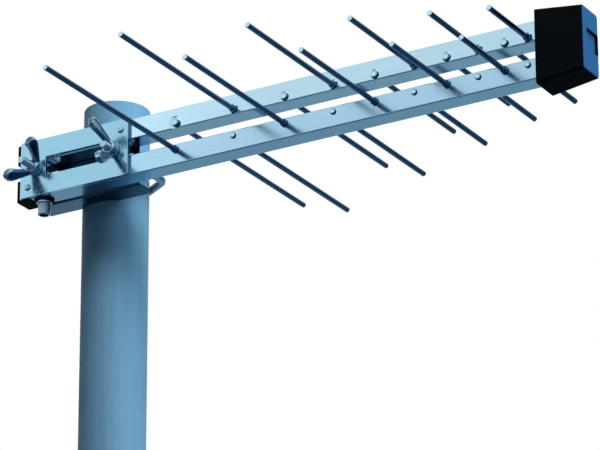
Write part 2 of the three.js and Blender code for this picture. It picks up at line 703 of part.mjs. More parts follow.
/** Points of a rounded rectangle in the plane x, counter-clockwise seen from +x. */
function coverRing(x, width, height, radius) {
  const [side, top] = [width / 2 - radius, height / 2 - radius];
  const centres = [[side, -top, -1], [side, top, 0], [-side, top, 1], [-side, -top, 2]];
  return centres.flatMap(([y, z, quarter]) => Array.from({ length: CORNER_POINTS }, (_, step) => {
    const angle = (quarter + step / (CORNER_POINTS - 1)) * (Math.PI / 2);
    return new THREE.Vector3(x, y + radius * Math.cos(angle), z + radius * Math.sin(angle));
  }));
}

/** The moulded cover over the booms' front ends, open to the rear, with ribs that grip them. */
function frontCover() {
  const { wall, nose, corner, noseRound } = COVER;
  const rear = boomFront - COVER.overlap;
  const front = rear + COVER.length;
  const between = (from, to, x) => THREE.MathUtils.lerp(from, to, (x - rear) / COVER.length);
  const widthAt = (x) => BOOM_SIDE + 2 * between(COVER_ROOM.rearSide, COVER_ROOM.frontSide, x);
  const heightAt = (x) => 2 * (boomOuter + between(COVER_ROOM.rearRise, COVER_ROOM.frontRise, x));
  const ring = (x, inset, radius) => coverRing(x, widthAt(x) - 2 * inset, heightAt(x) - 2 * inset, radius);
  const shell = lofted([
    ring(rear, 0, corner),
    ring(front - noseRound, 0, corner),
    ring(front - noseRound * 0.3, noseRound * 0.3, corner),
    ring(front, noseRound, corner),
  ]);
  const hollow = lofted([ring(rear - 1, wall, corner - 1), ring(front - nose, wall, corner - 1)]);
  const faceWidth = widthAt(front);
  const low = -faceWidth / 2 + faceWidth * COVER_POCKET.left;
  const high = -faceWidth / 2 + faceWidth * COVER_POCKET.right;
  const pocketMiddle = heightAt(front) * (COVER_POCKET.middle - 0.5);
  const pocket = block([front - COVER_POCKET.depth, low, pocketMiddle - COVER_POCKET.height / 2],
    [front + 1, high, pocketMiddle + COVER_POCKET.height / 2]);
  const ribHalf = boomOuter - COVER_RIBS.shortfall;
  const ribs = COVER_RIBS.stations.flatMap((station) => [-1, 1].map((side) => {
    const x = rear + station;
    const [inner, outer] = [boomHalf + FIT, widthAt(x + COVER_RIBS.thickness) / 2 - wall / 2];
    return block([x, Math.min(side * inner, side * outer), -ribHalf],
      [x + COVER_RIBS.thickness, Math.max(side * inner, side * outer), ribHalf]);
  }));
  return piece('front_cover', join(cut(shell, hollow, pocket), ...ribs), 'plastic');
}

// ---- assembly ------------------------------------------------------------------------------

const antenna = new THREE.Group();
antenna.position.set(0, -boomOffset, MAST_BELOW);
antenna.add(
  upperBoom(), lowerBoom(), ...dipoleRods(),
  rearCap('upper_rear_cap', 1, false), rearCap('lower_rear_cap', -1, true),
  clampPlate(), plateRivet('upper_plate_rivet', 1), plateRivet('lower_plate_rivet', -1),
  mastJaw(), vBolt(),
  washer('rear_washer', -1), washer('front_washer', 1),
  wingNut('rear_wing_nut', -1, REAR_NUT_TURN), wingNut('front_wing_nut', 1, FRONT_NUT_TURN),
  socketGasket(), coaxSocket(), socketInsulator(), socketContact(), socketNut(), coaxCable(),
  feedWire(), feedLug(), feedSpacer(),
  spacerScrew('upper_spacer_screw', 1), spacerScrew('lower_spacer_screw', -1), lugScrew(),
  frontCover(),
);

const group = new THREE.Group();
group.add(mastTube(), antenna);

export default group;
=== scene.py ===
"""Looks of a log-periodic antenna clamped to a mast stub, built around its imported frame."""

import functools
import logging
import math
from dataclasses import dataclass
from enum import Enum
from typing import Callable, Iterable, Optional, Sequence

import bmesh
import bpy
from mathutils import Matrix, Vector
from mathutils.geometry import tessellate_polygon


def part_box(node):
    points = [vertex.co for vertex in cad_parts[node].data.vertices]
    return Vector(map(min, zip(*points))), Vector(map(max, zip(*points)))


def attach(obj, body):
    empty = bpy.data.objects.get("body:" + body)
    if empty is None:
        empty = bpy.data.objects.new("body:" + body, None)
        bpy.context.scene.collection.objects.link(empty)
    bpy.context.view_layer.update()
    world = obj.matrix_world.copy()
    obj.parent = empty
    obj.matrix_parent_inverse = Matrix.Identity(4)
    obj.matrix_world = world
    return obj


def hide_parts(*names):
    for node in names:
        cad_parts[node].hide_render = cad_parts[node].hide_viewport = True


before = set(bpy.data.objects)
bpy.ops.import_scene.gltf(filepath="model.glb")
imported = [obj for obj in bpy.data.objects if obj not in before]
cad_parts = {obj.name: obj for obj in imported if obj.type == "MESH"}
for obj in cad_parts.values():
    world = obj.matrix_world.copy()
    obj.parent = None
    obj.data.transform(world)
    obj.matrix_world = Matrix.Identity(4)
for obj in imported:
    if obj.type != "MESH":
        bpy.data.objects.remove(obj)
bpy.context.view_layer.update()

MM = 0.001
BRIGHTEST = 0.98
# The colour sockets of a mix node, which has others of the same names.
MIX_FIRST, MIX_SECOND, MIX_RESULT = 6, 7, 2
LOG = logging.getLogger("antenna")

Point = tuple[float, float]
Colour = tuple[float, float, float]
Sockets = bpy.types.bpy_prop_collection


# ---- names for the things that have a few options ----


class Body(Enum):
    """The bodies of the frame that pieces ride on."""

    MAST = "mast"
    ANTENNA = "antenna"
    V_BOLT = "v_bolt"
    REAR_NUT = "rear_nut"
    FRONT_NUT = "front_nut"
    COVER = "front_cover"


class Slot(Enum):
    """The record's material slots."""

    MAST = "mast"
    BOOM = "boom_aluminium"
    ROD = "rod_aluminium"
    ZINC = "zinc_plate"
    V_BOLT = "v_bolt_steel"
    WING_NUT = "wing_nut_zinc"
    STEEL = "steel_fasteners"
    PLASTIC = "black_plastic"
    RUBBER = "black_rubber"
    NICKEL = "socket_nickel"
    INSULATOR = "white_insulator"
    BRASS = "brass"
    SHEATH = "cable_sheath"
    COPPER = "copper_wire"


class Axis(Enum):
    """Directions that turned pieces point along, as (axis, first side, second side)."""

    UP = (Vector((0, 0, 1)), Vector((1, 0, 0)), Vector((0, 1, 0)))
    DOWN = (Vector((0, 0, -1)), Vector((0, 1, 0)), Vector((1, 0, 0)))
    FRONT = (Vector((0, -1, 0)), Vector((1, 0, 0)), Vector((0, 0, 1)))
    BACK = (Vector((0, 1, 0)), Vector((0, 0, 1)), Vector((1, 0, 0)))


# ---- shader nodes ----


def wire(tree: bpy.types.NodeTree, kind: str, feeds: Optional[dict] = None,
         **settings: object) -> bpy.types.Node:
    """Adds a node to a tree.

    Args:
        tree: the tree that it joins.
        kind: the node's type.
        feeds: each input, by name or number, with the socket that feeds it or its value.
        settings: the node's own settings.

    Returns:
        The node.
    """
    node = tree.nodes.new(kind)
    for name, value in settings.items():
        setattr(node, name, value)
    for socket, value in (feeds or {}).items():
        if isinstance(value, bpy.types.NodeSocket):
            tree.links.new(value, node.inputs[socket])
        else:
            node.inputs[socket].default_value = value
    return node


def math_of(tree: bpy.types.NodeTree, operation: str, *terms: object,
            clamp: bool = False) -> bpy.types.NodeSocket:
    """Adds a math node to a tree.

    Args:
        tree: the tree that it joins.
        operation: what it does.
        terms: its sockets or values, in order.
        clamp: whether the result stays between 0 and 1.

    Returns:
        The result's socket.
    """
    return wire(tree, "ShaderNodeMath", dict(enumerate(terms)), operation=operation,
                use_clamp=clamp).outputs[0]


def mixed(tree: bpy.types.NodeTree, factor: bpy.types.NodeSocket, first: object,
          second: object) -> bpy.types.NodeSocket:
    """Adds a mix of two colours to a tree.

    Args:
        tree: the tree that it joins.
        factor: 0 for the first colour, 1 for the second.
        first: a colour or a colour's socket.
        second: a colour or a colour's socket.

    Returns:
        The mixed colour's socket.
    """
    first, second = (colour if isinstance(colour, bpy.types.NodeSocket) else (*colour, 1.0)
                     for colour in (first, second))
    node = wire(tree, "ShaderNodeMix", {"Factor": factor, MIX_FIRST: first, MIX_SECOND: second},
                data_type="RGBA")
    return node.outputs[MIX_RESULT]


class GroupKit:
    """Shader node groups that several finishes share, each built once."""

    @staticmethod
    def _start(name: str, **inputs: object) -> tuple[bpy.types.NodeTree, Sockets]:
        """Starts a node group with named inputs.

        Args:
            name: the group's name.
            inputs: each input's name and default; a tuple makes a vector socket.

        Returns:
            The tree, and the sockets inside it that give its inputs.
        """
        tree = bpy.data.node_groups.new(name, "ShaderNodeTree")
        for socket, value in inputs.items():
            kind = "NodeSocketVector" if isinstance(value, tuple) else "NodeSocketFloat"
            made = tree.interface.new_socket(socket, in_out="INPUT", socket_type=kind)
            made.default_value = value
        return tree, tree.nodes.new("NodeGroupInput").outputs

    @staticmethod
    def _finish(tree: bpy.types.NodeTree, **results: bpy.types.NodeSocket) -> bpy.types.NodeTree:
        """Gives a group its outputs.

        Args:
            tree: the group's tree.
            results: each output's name and the socket that feeds it.

        Returns:
            The tree.
        """
        for name in results:
            tree.interface.new_socket(name, in_out="OUTPUT", socket_type="NodeSocketFloat")
        out = tree.nodes.new("NodeGroupOutput")
        for name, value in results.items():
            tree.links.new(value, out.inputs[name])
        return tree

    @staticmethod
    def _rise(tree: bpy.types.NodeTree, value: bpy.types.NodeSocket, given: Sockets
              ) -> bpy.types.NodeSocket:
        """Returns a smooth rise from 0, where a value is the group's Begin, to 1 at its Full."""
        return wire(tree, "ShaderNodeMapRange",
                    {"Value": value, "From Min": given["Begin"], "From Max": given["Full"]},
                    interpolation_type="SMOOTHSTEP").outputs[0]

    @staticmethod
    @functools.cache
    def streaks() -> bpy.types.NodeTree:
        """Returns the group of fine drawn lines, stretched by a vector, and slow blotches."""
        tree, given = GroupKit._start("drawn_streaks", Stretch=(1.0, 1.0, 1.0), Fineness=900.0,
                                      Blotch=25.0)
        place = wire(tree, "ShaderNodeTexCoord").outputs["Object"]
        scaled = wire(tree, "ShaderNodeVectorMath", {0: place, 1: given["Stretch"]},
                      operation="MULTIPLY")
        fine = wire(tree, "ShaderNodeTexNoise", {"Vector": scaled.outputs[0], "Detail": 3.0,
                                                 "Scale": given["Fineness"], "Roughness": 0.6})
        slow = wire(tree, "ShaderNodeTexNoise", {"Vector": place, "Scale": given["Blotch"],
                                                 "Detail": 4.0})
        return GroupKit._finish(tree, Streak=fine.outputs["Fac"], Blotch=slow.outputs["Fac"])

    @staticmethod
    @functools.cache
    def spangle() -> bpy.types.NodeTree:
        """Returns the group of zinc crystals: a value per crystal and a fine grain."""
        tree, given = GroupKit._start("zinc_spangle", Crystal=420.0, Grain=2600.0)
        place = wire(tree, "ShaderNodeTexCoord").outputs["Object"]
        cells = wire(tree, "ShaderNodeTexVoronoi", {"Vector": place, "Scale": given["Crystal"]})
        tone = wire(tree, "ShaderNodeRGBToBW", {"Color": cells.outputs["Color"]})
        grain = wire(tree, "ShaderNodeTexNoise", {"Vector": place, "Scale": given["Grain"],
                                                  "Detail": 2.0})
        return GroupKit._finish(tree, Crystal=tone.outputs[0], Grain=grain.outputs["Fac"])

    @staticmethod
    @functools.cache
    def edge_wear() -> bpy.types.NodeTree:
        """Returns the group that masks worn edges, broken up by noise."""
        tree, given = GroupKit._start("edge_wear", Radius=0.0004, Strength=1.0, Breakup=700.0)
        rounded = wire(tree, "ShaderNodeBevel", {"Radius": given["Radius"]}, samples=4)
        shape = wire(tree, "ShaderNodeNewGeometry")
        dot = wire(tree, "ShaderNodeVectorMath",
                   {0: rounded.outputs[0], 1: shape.outputs["Normal"]}, operation="DOT_PRODUCT")
        turned = wire(tree, "ShaderNodeMapRange", {"Value": dot.outputs["Value"],
                                                   "From Min": 0.985, "From Max": 0.80})
        place = wire(tree, "ShaderNodeTexCoord").outputs["Object"]
        noise = wire(tree, "ShaderNodeTexNoise", {"Vector": place, "Scale": given["Breakup"],
                                                  "Detail": 3.0})
        broken = math_of(tree, "MULTIPLY", turned.outputs[0], noise.outputs["Fac"])
        level = math_of(tree, "MULTIPLY", broken, given["Strength"], clamp=True)
        return GroupKit._finish(tree, Edge=level)

    @staticmethod
    @functools.cache
    def dust() -> bpy.types.NodeTree:
        """Returns the group that masks a thin film of dust, thicker on what faces up."""
        tree, given = GroupKit._start("dust_film", Patch=60.0, Amount=0.1)
        place = wire(tree, "ShaderNodeTexCoord").outputs
        parts = wire(tree, "ShaderNodeSeparateXYZ", {0: place["Normal"]})
        upward = wire(tree, "ShaderNodeMapRange", {"Value": parts.outputs["Z"],
                                                   "From Min": -0.4, "To Min": 0.15})
        noise = wire(tree, "ShaderNodeTexNoise", {"Vector": place["Object"], "Detail": 6.0,
                                                  "Scale": given["Patch"], "Roughness": 0.65})
        patches = wire(tree, "ShaderNodeMapRange", {"Value": noise.outputs["Fac"],
                                                    "From Min": 0.38, "From Max": 0.72})
        both = math_of(tree, "MULTIPLY", upward.outputs[0], patches.outputs[0])
        return GroupKit._finish(tree, Dust=math_of(tree, "MULTIPLY", both, given["Amount"]))

    @staticmethod
    @functools.cache
    def facing() -> bpy.types.NodeTree:
        """Returns the group that masks the faces turned along one of the piece's own axes."""
        tree, given = GroupKit._start("faces_along", Along=(0.0, 1.0, 0.0), Begin=0.55, Full=0.9)
        place = wire(tree, "ShaderNodeTexCoord")
        dot = wire(tree, "ShaderNodeVectorMath", {0: place.outputs["Normal"], 1: given["Along"]},
                   operation="DOT_PRODUCT")
        size = math_of(tree, "ABSOLUTE", dot.outputs["Value"])
        return GroupKit._finish(tree, Face=GroupKit._rise(tree, size, given))

    @staticmethod
    @functools.cache
    def crests() -> bpy.types.NodeTree:
        """Returns the group that masks rounded crests, where castings get painted bright highlights.
        """
        tree, given = GroupKit._start("rubbed_crests", Begin=0.51, Full=0.55)
        shape = wire(tree, "ShaderNodeNewGeometry")
        rise = GroupKit._rise(tree, shape.outputs["Pointiness"], given)
        return GroupKit._finish(tree, Crest=rise)

    @staticmethod
    @functools.cache
    def inside() -> bpy.types.NodeTree:
        """Returns the group that masks what lies within a distance of a place along x."""
        tree, given = GroupKit._start("near_place", Middle=0.0, Reach=0.026)
        place = wire(tree, "ShaderNodeTexCoord")
        parts = wire(tree, "ShaderNodeSeparateXYZ", {0: place.outputs["Object"]})
        near = math_of(tree, "COMPARE", parts.outputs["X"], given["Middle"], given["Reach"])
        return GroupKit._finish(tree, Near=near)


# ---- finishes ----


class Dust(Enum):
    """Colour of the dust on each kind of finish."""

    DRAWN = (0.42, 0.47, 0.50)
    ZINC = (0.40, 0.46, 0.50)
    PAINT = (0.40, 0.43, 0.44)
    MOULDED = (0.30, 0.32, 0.33)


class Shading:
    """One material under construction: its tree, its shader and small node helpers."""

    def __init__(self, name: str) -> None:
        """Starts a material of that name with only its principled shader."""
        self.material = bpy.data.materials.new(name)
        self.material.use_nodes = True
        self.tree = self.material.node_tree
        self.shader = next(n for n in self.tree.nodes if n.type == "BSDF_PRINCIPLED")

    def group(self, tree: bpy.types.NodeTree, **values: object) -> Sockets:
        """Places a shared group, sets its inputs by name and returns its outputs."""
        return wire(self.tree, "ShaderNodeGroup", values, node_tree=tree).outputs

    def spread(self, value: bpy.types.NodeSocket, low: float, high: float,
               from_low: float = 0.3, from_high: float = 0.7) -> bpy.types.NodeSocket:
        """Maps a value from one range to another.

        Args:
            value: the socket to map.
            low: result at from_low.
            high: result at from_high.
            from_low: start of the range that is read.
            from_high: end of it.

        Returns:
            The mapped value's socket.
        """
        return wire(self.tree, "ShaderNodeMapRange",
                    {"Value": value, "From Min": from_low, "From Max": from_high,
                     "To Min": low, "To Max": high}).outputs[0]

    def add(self, first: bpy.types.NodeSocket, second: bpy.types.NodeSocket
            ) -> bpy.types.NodeSocket:
        """Returns the sum of two values."""
        return math_of(self.tree, "ADD", first, second)

    def blend(self, factor: bpy.types.NodeSocket, first: object, second: object
              ) -> bpy.types.NodeSocket:
        """Returns a mix of two colours or colour sockets, the second where the factor is 1."""
        return mixed(self.tree, factor, first, second)

    def bump(self, height: bpy.types.NodeSocket, distance: float) -> None:
        """Bumps the surface by a height, to a distance in metres."""
        node = wire(self.tree, "ShaderNodeBump", {"Height": height, "Distance": distance})
        self.feed("Normal", node.outputs[0])

    def feed(self, socket: str, value: object) -> None:
        """Sets one of the shader's inputs to a value, or links it to a socket."""
        if isinstance(value, bpy.types.NodeSocket):
            self.tree.links.new(value, self.shader.inputs[socket])
        else:
            self.shader.inputs[socket].default_value = value


def shade(colour: Colour, factor: float, lift: float = 0.0) -> Colour:
    """Returns a colour made lighter or darker, and lifted by a little, kept under 1."""
    return tuple(min(BRIGHTEST, channel * factor + lift) for channel in colour)


@dataclass(frozen=True)
class DrawnMetal:
    """Satin metal with fine lines along its length, as extruded or drawn stock has.

    Args:
        slot: the record's slot that it finishes; not used.
        colour: the metal's colour.
        stretch: how much each axis is squeezed, small along the grain.
        roughness: roughness of the cleanest and of the dullest places.
        variation: how far the colour moves with the streaks.
        dust: amount of dust.
        wear: strength of the bright edges.
        dip: depth of the lines in metres.
        fineness: scale of the lines.
        bare: colour of the cut ends.
        peened: colour of the peened heads.
    """

    slot: Slot
    colour: Colour
    stretch: tuple[float, float, float] = (1.0, 1.0, 1.0)
    roughness: tuple[float, float] = (0.2, 0.32)
    variation: float = 0.08
    dust: float = 0.10
    wear: float = 0.8
    dip: float = 4e-6
    fineness: float = 900.0
    bare: Optional[Colour] = None
    peened: Optional[Colour] = None

    def build(self, name: str) -> bpy.types.Material:
        """Returns the finish as a material of that name."""
        made = Shading(name)
        lines = made.group(GroupKit.streaks(), Stretch=self.stretch, Fineness=self.fineness)
        edges = made.group(GroupKit.edge_wear(), Strength=self.wear)
        film = made.group(GroupKit.dust(), Amount=self.dust)
        tone = made.blend(made.spread(lines["Streak"], 0.0, 1.0),
                          shade(self.colour, 1 - self.variation),
                          shade(self.colour, 1 + self.variation))
        tone = made.blend(made.spread(lines["Blotch"], 0.0, 0.25), tone,
                          shade(self.colour, 1 - 2 * self.variation))
        dome, flat_end = (0.5, 0.8), (0.975, 0.995)
        for colour, (begin, full) in ((self.peened, dome), (self.bare, flat_end)):
            if colour:
                ends = made.group(GroupKit.facing(), Along=(0.0, 1.0, 0.0), Begin=begin, Full=full)
                tone = made.blend(ends["Face"], tone, colour)
        tone = made.blend(edges["Edge"], tone, shade(self.colour, 1.45))
        tone = made.blend(film["Dust"], tone, Dust.DRAWN.value)
        made.feed("Base Color", tone)
        dull = made.spread(lines["Blotch"], *self.roughness)
        made.feed("Roughness", made.add(dull, film["Dust"]))
        made.feed("Metallic", 1.0)
        made.bump(lines["Streak"], self.dip)
        return made.material


@dataclass(frozen=True)
class ZincPlate:
    """Bright zinc plating: fine crystals over a satin ground, worn at the edges; optional painted
    highlights on rounded crests and painted light and shade on its side faces.

    Args:
        slot: the record's slot that it finishes; not used.
        colour: the plating's colour.
        crystal: scale of the crystals.
        contrast: how far the crystals' colours differ.
        roughness: roughness of the brightest and of the dullest crystals.
        dust: amount of dust.
        wear: strength of the bright edges.
        crest_highlight: colour of the painted highlights on a casting's rounded crests.
        cut: painted light and shade for the faces that look neither forward nor back, one colour
            inside a span along x and one outside it.
        span: middle and half length of that span in metres.
    """

    slot: Slot
    colour: Colour
    crystal: float = 420.0
    contrast: float = 0.12
    roughness: tuple[float, float] = (0.22, 0.36)
    dust: float = 0.15
    wear: float = 1.0
    crest_highlight: Optional[Colour] = None
    cut: Optional[tuple[Colour, Colour]] = None
    span: tuple[float, float] = (0.0, 0.026)

    def build(self, name: str) -> bpy.types.Material:
        """Returns the finish as a material of that name."""
        made = Shading(name)
        flakes = made.group(GroupKit.spangle(), Crystal=self.crystal)
        edges = made.group(GroupKit.edge_wear(), Strength=self.wear)
        film = made.group(GroupKit.dust(), Amount=self.dust)
        tone = made.blend(made.spread(flakes["Crystal"], 0.0, 1.0, 0.2, 0.8),
                          shade(self.colour, 1 - self.contrast),
                          shade(self.colour, 1 + self.contrast))
        tone = made.blend(made.spread(flakes["Grain"], 0.0, 0.3), tone,
                          shade(self.colour, 1 - 1.5 * self.contrast))
        # Faces that look neither forward nor back get painted light and shade, one colour within the
        # span along x and another outside it.
        if self.cut:
            flat = made.group(GroupKit.facing(), Along=(0.0, 1.0, 0.0), Begin=0.3, Full=0.6)
            near = made.group(GroupKit.inside(), Middle=self.span[0], Reach=self.span[1])
            painted_side_tone = made.blend(near["Near"], self.cut[1], self.cut[0])
            tone = made.blend(flat["Face"], painted_side_tone, tone)
        tone = made.blend(edges["Edge"], tone, shade(self.colour, 1.5))
        # Rounded crests are painted bright as highlights.
        if self.crest_highlight:
            crests = made.group(GroupKit.crests())
            tone = made.blend(crests["Crest"], tone, self.crest_highlight)
        tone = made.blend(film["Dust"], tone, Dust.ZINC.value)
        made.feed("Base Color", tone)
        dull = made.spread(flakes["Crystal"], *self.roughness, 0.2, 0.8)
        made.feed("Roughness", made.add(dull, film["Dust"]))
        made.feed("Metallic", 1.0)
        made.bump(flakes["Grain"], 2e-6)
        return made.material


@dataclass(frozen=True)
class PaintedSteel:
    """Weathered zinc-rich paint on the mast: matt, with runs down its length.

    Args:
        slot: the record's slot that it finishes; not used.
        colour: the paint's colour.
        faded: its colour where weather has faded it.
        worn: its colour on worn edges.
        gloss: the paint's specular level.
        roughness: roughness of the smoothest and of the most weathered places.
    """

    slot: Slot
    colour: Colour
    faded: Colour
    worn: Colour = (0.45, 0.55, 0.62)
    gloss: float = 0.1
    roughness: tuple[float, float] = (0.5, 0.62)

    def build(self, name: str) -> bpy.types.Material:
        """Returns the finish as a material of that name."""
        made = Shading(name)
        runs = made.group(GroupKit.streaks(), Stretch=(1.0, 1.0, 0.035), Fineness=160.0, Blotch=30.0)
        flakes = made.group(GroupKit.spangle(), Crystal=260.0, Grain=1500.0)
        edges = made.group(GroupKit.edge_wear(), Strength=0.9)
        film = made.group(GroupKit.dust(), Amount=0.06)
        tone = made.blend(made.spread(runs["Streak"], 0.0, 1.0), self.colour, self.faded)
        tone = made.blend(made.spread(flakes["Crystal"], 0.0, 0.16, 0.2, 0.8), tone,
                          shade(self.faded, 1.15))
        tone = made.blend(made.spread(runs["Blotch"], 0.0, 0.3), tone, shade(self.colour, 0.8))
        tone = made.blend(edges["Edge"], tone, self.worn)
        tone = made.blend(film["Dust"], tone, Dust.PAINT.value)
        made.feed("Base Color", tone)
        made.feed("Roughness", made.spread(runs["Blotch"], *self.roughness))
        made.feed("Specular IOR Level", self.gloss)
        made.bump(made.add(runs["Streak"], flakes["Grain"]), 1.2e-5)
        return made.material


@dataclass(frozen=True)
class Moulded:
    """Moulded plastic or rubber with a fine pebbled skin.

    Args:
        slot: the record's slot that it finishes; not used.
        colour: the material's colour.
        roughness: roughness of the smoothest and of the dullest places.
        pebble: scale of the skin's texture.
        dip: the texture's depth in metres.
        scuff: strength of the paler edges.
        dust: amount of dust.
        gloss: the skin's specular level.
        painted_nose_sheen: colour of a blue painted sheen on the nose, on its faces turned along x.
    """

    slot: Slot
    colour: Colour
    roughness: tuple[float, float] = (0.36, 0.48)
    pebble: float = 1500.0
    dip: float = 1.5e-5
    scuff: float = 0.35
    dust: float = 0.12
    gloss: float = 0.5
    painted_nose_sheen: Optional[Colour] = None

    def build(self, name: str) -> bpy.types.Material:
        """Returns the finish as a material of that name."""
        made = Shading(name)
        skin = made.group(GroupKit.spangle(), Crystal=self.pebble, Grain=self.pebble * 1.7)
        slow = made.group(GroupKit.streaks(), Fineness=120.0, Blotch=45.0)
        edges = made.group(GroupKit.edge_wear(), Strength=self.scuff, Radius=0.0005)
        film = made.group(GroupKit.dust(), Amount=self.dust)
        tone = made.blend(made.spread(slow["Blotch"], 0.0, 1.0), shade(self.colour, 0.8),
                          shade(self.colour, 1.2))
        # Faces turned along x take a painted sheen: the nose's blue reflection painted into its
        # colour.
        if self.painted_nose_sheen:
            nose = made.group(GroupKit.facing(), Along=(1.0, 0.0, 0.0))
            tone = made.blend(nose["Face"], tone, self.painted_nose_sheen)
        tone = made.blend(edges["Edge"], tone, shade(self.colour, 1.5, lift=0.02))
        tone = made.blend(film["Dust"], tone, Dust.MOULDED.value)
        made.feed("Base Color", tone)
        made.feed("Roughness", made.spread(slow["Streak"], *self.roughness))
        made.feed("Specular IOR Level", self.gloss)
        made.bump(skin["Grain"], self.dip)
        return made.material


class Look(Enum):
    """Every finish of the antenna."""

    MAST = PaintedSteel(Slot.MAST, colour=(0.155, 0.36, 0.54), faded=(0.20, 0.42, 0.60))
    UPPER_BOOM = DrawnMetal(Slot.BOOM, colour=(0.45, 0.68, 0.81), stretch=(0.02, 1.0, 1.0),
                            roughness=(0.10, 0.16), variation=0.04, dust=0.03, dip=2e-6, wear=0.0)
    # Both booms are the same aluminium; the lower boom's darker colour is painted shade.
    LOWER_BOOM = DrawnMetal(Slot.BOOM, colour=(0.36, 0.59, 0.745), stretch=(0.02, 1.0, 1.0),
                            roughness=(0.15, 0.21), variation=0.04, dust=0.03, dip=2e-6, wear=0.0)
    # The rods' own colour is painted dark as the dark reflections along them; their cut ends and
    # peened heads keep paler metal colours.
    ROD = DrawnMetal(Slot.ROD, colour=(0.055, 0.135, 0.235), stretch=(1.0, 0.03, 1.0),
                     roughness=(0.22, 0.30), variation=0.08, wear=0.0, dust=0.01, dip=5e-7,
                     bare=(0.48, 0.70, 0.82), peened=(0.34, 0.52, 0.64))
    # The plate's edge faces carry painted light: within 26 mm of its middle, round the window, they
    # are painted pale as highlights, and farther out dark as painted dark reflections.
    PLATE = ZincPlate(Slot.ZINC, colour=(0.26, 0.495, 0.635), crystal=650.0, contrast=0.04,
                      roughness=(0.14, 0.22), dust=0.08, wear=0.0,
                      cut=((0.62, 0.84, 0.94), (0.08, 0.20, 0.32)))
    # The channel's web is painted dark as the shade between and behind the booms; its flanges keep a
    # lighter zinc colour, painted darker as the mast's shadow and dark reflection from just left of
    # the mast's axis to the right end.
    JAW = ZincPlate(Slot.ZINC, colour=(0.045, 0.08, 0.12), crystal=650.0, contrast=0.05,
                    roughness=(0.16, 0.26), dust=0.02, wear=0.5,
                    cut=((0.05, 0.09, 0.13), (0.14, 0.24, 0.32)), span=(0.024, 0.029))
    V_BOLT = DrawnMetal(Slot.V_BOLT, colour=(0.30, 0.46, 0.58), stretch=(0.2, 0.2, 0.2),
                        roughness=(0.16, 0.26), variation=0.10, wear=1.0)
    # The nuts' colour is painted dark as the dark reflections on their faces; their crests carry
    # painted highlights.
    WING_NUT = ZincPlate(Slot.WING_NUT, colour=(0.06, 0.13, 0.22), crystal=900.0,
                         roughness=(0.14, 0.22), contrast=0.06, dust=0.02, wear=0.6,
                         crest_highlight=(0.55, 0.76, 0.86))
    STEEL = ZincPlate(Slot.STEEL, colour=(0.30, 0.50, 0.62), crystal=900.0,
                      roughness=(0.2, 0.3), contrast=0.08, dust=0.04, wear=0.6)
    PLASTIC = Moulded(Slot.PLASTIC, colour=(0.0012, 0.0025, 0.004), roughness=(0.5, 0.6), gloss=0.03,
                      dust=0.006, scuff=0.1)
    # The cover's nose carries a blue painted sheen in place of a reflection.
    COVER = Moulded(Slot.PLASTIC, colour=(0.0012, 0.0025, 0.004), roughness=(0.5, 0.6), gloss=0.03,
                    dust=0.006, scuff=0.1, painted_nose_sheen=(0.021, 0.10, 0.24))
    RUBBER = Moulded(Slot.RUBBER, colour=(0.006, 0.007, 0.009), roughness=(0.65, 0.85), dip=2.5e-5,
                     gloss=0.2)
    NICKEL = DrawnMetal(Slot.NICKEL, colour=(0.36, 0.52, 0.62), stretch=(1.0, 1.0, 0.2),
                        roughness=(0.08, 0.16), variation=0.05, dust=0.02, dip=1e-6, wear=0.3)
    INSULATOR = Moulded(Slot.INSULATOR, colour=(0.72, 0.71, 0.66), roughness=(0.35, 0.5),
                        scuff=0.1, dip=8e-6, dust=0.04)
    BRASS = DrawnMetal(Slot.BRASS, colour=(0.72, 0.50, 0.18), roughness=(0.18, 0.3),
                       variation=0.08)
    SHEATH = Moulded(Slot.SHEATH, colour=(0.74, 0.74, 0.72), roughness=(0.4, 0.5), scuff=0.0,
                     dip=6e-6)
    COPPER = DrawnMetal(Slot.COPPER, colour=(0.78, 0.36, 0.19), stretch=(0.1, 1.0, 0.1),
                        roughness=(0.2, 0.34), variation=0.1)

    def material(self) -> bpy.types.Material:
        """Returns the finish's material, made when it is first asked for."""
        name = "look_" + self.name.lower()
        return bpy.data.materials.get(name) or self.value.build(name)


# ---- solids ----


def box_of(node: str) -> tuple[Vector, Vector]:
    """Returns a node's lowest and highest corners in millimetres."""
    low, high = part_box(node)
    return low / MM, high / MM


def centre_of(node: str) -> Vector:
    """Returns the middle of a node's box in millimetres."""
    low, high = box_of(node)
    return (low + high) / 2


def upright_of(node: str) -> tuple[Vector, float, float]:
    """Returns the middle of an upright round node's foot, its radius and its height."""
    low, high = box_of(node)
    middle = (low + high) / 2
    return Vector((middle.x, middle.y, low.z)), (high.x - low.x) / 2, high.z - low.z


def arc(centre: Point, radius: float, start: float, end: float, steps: int) -> list[Point]:
    """Points of an arc in a plane.

    Args:
        centre: the arc's middle.
        radius: its radius.
        start: first angle in degrees.
        end: last angle in degrees.
        steps: how many pieces it is cut into.

    Returns:
        steps + 1 points.
    """
    angles = [math.radians(start + (end - start) * i / steps) for i in range(steps + 1)]
    return [(centre[0] + radius * math.cos(a), centre[1] + radius * math.sin(a)) for a in angles]


def rounded_rectangle(width: float, height: float, radius: float, steps: int = 6,
                      middle: Point = (0.0, 0.0)) -> list[Point]:
    """Points of a rectangle with rounded corners, counter-clockwise.

    Args:
        width: size along the first axis.
        height: size along the second.
        radius: corner radius.
        steps: pieces in each corner.
        middle: the rectangle's middle.

    Returns:
        4 * (steps + 1) points.
    """
    sharpest = 0.01
    radius = max(radius, sharpest)
    across, up = width / 2 - radius, height / 2 - radius
    points: list[Point] = []
    for quarter, (side, level) in enumerate(((1, 1), (-1, 1), (-1, -1), (1, -1))):
        corner = (middle[0] + side * across, middle[1] + level * up)
        points += arc(corner, radius, 90 * quarter, 90 * quarter + 90, steps)
    return points


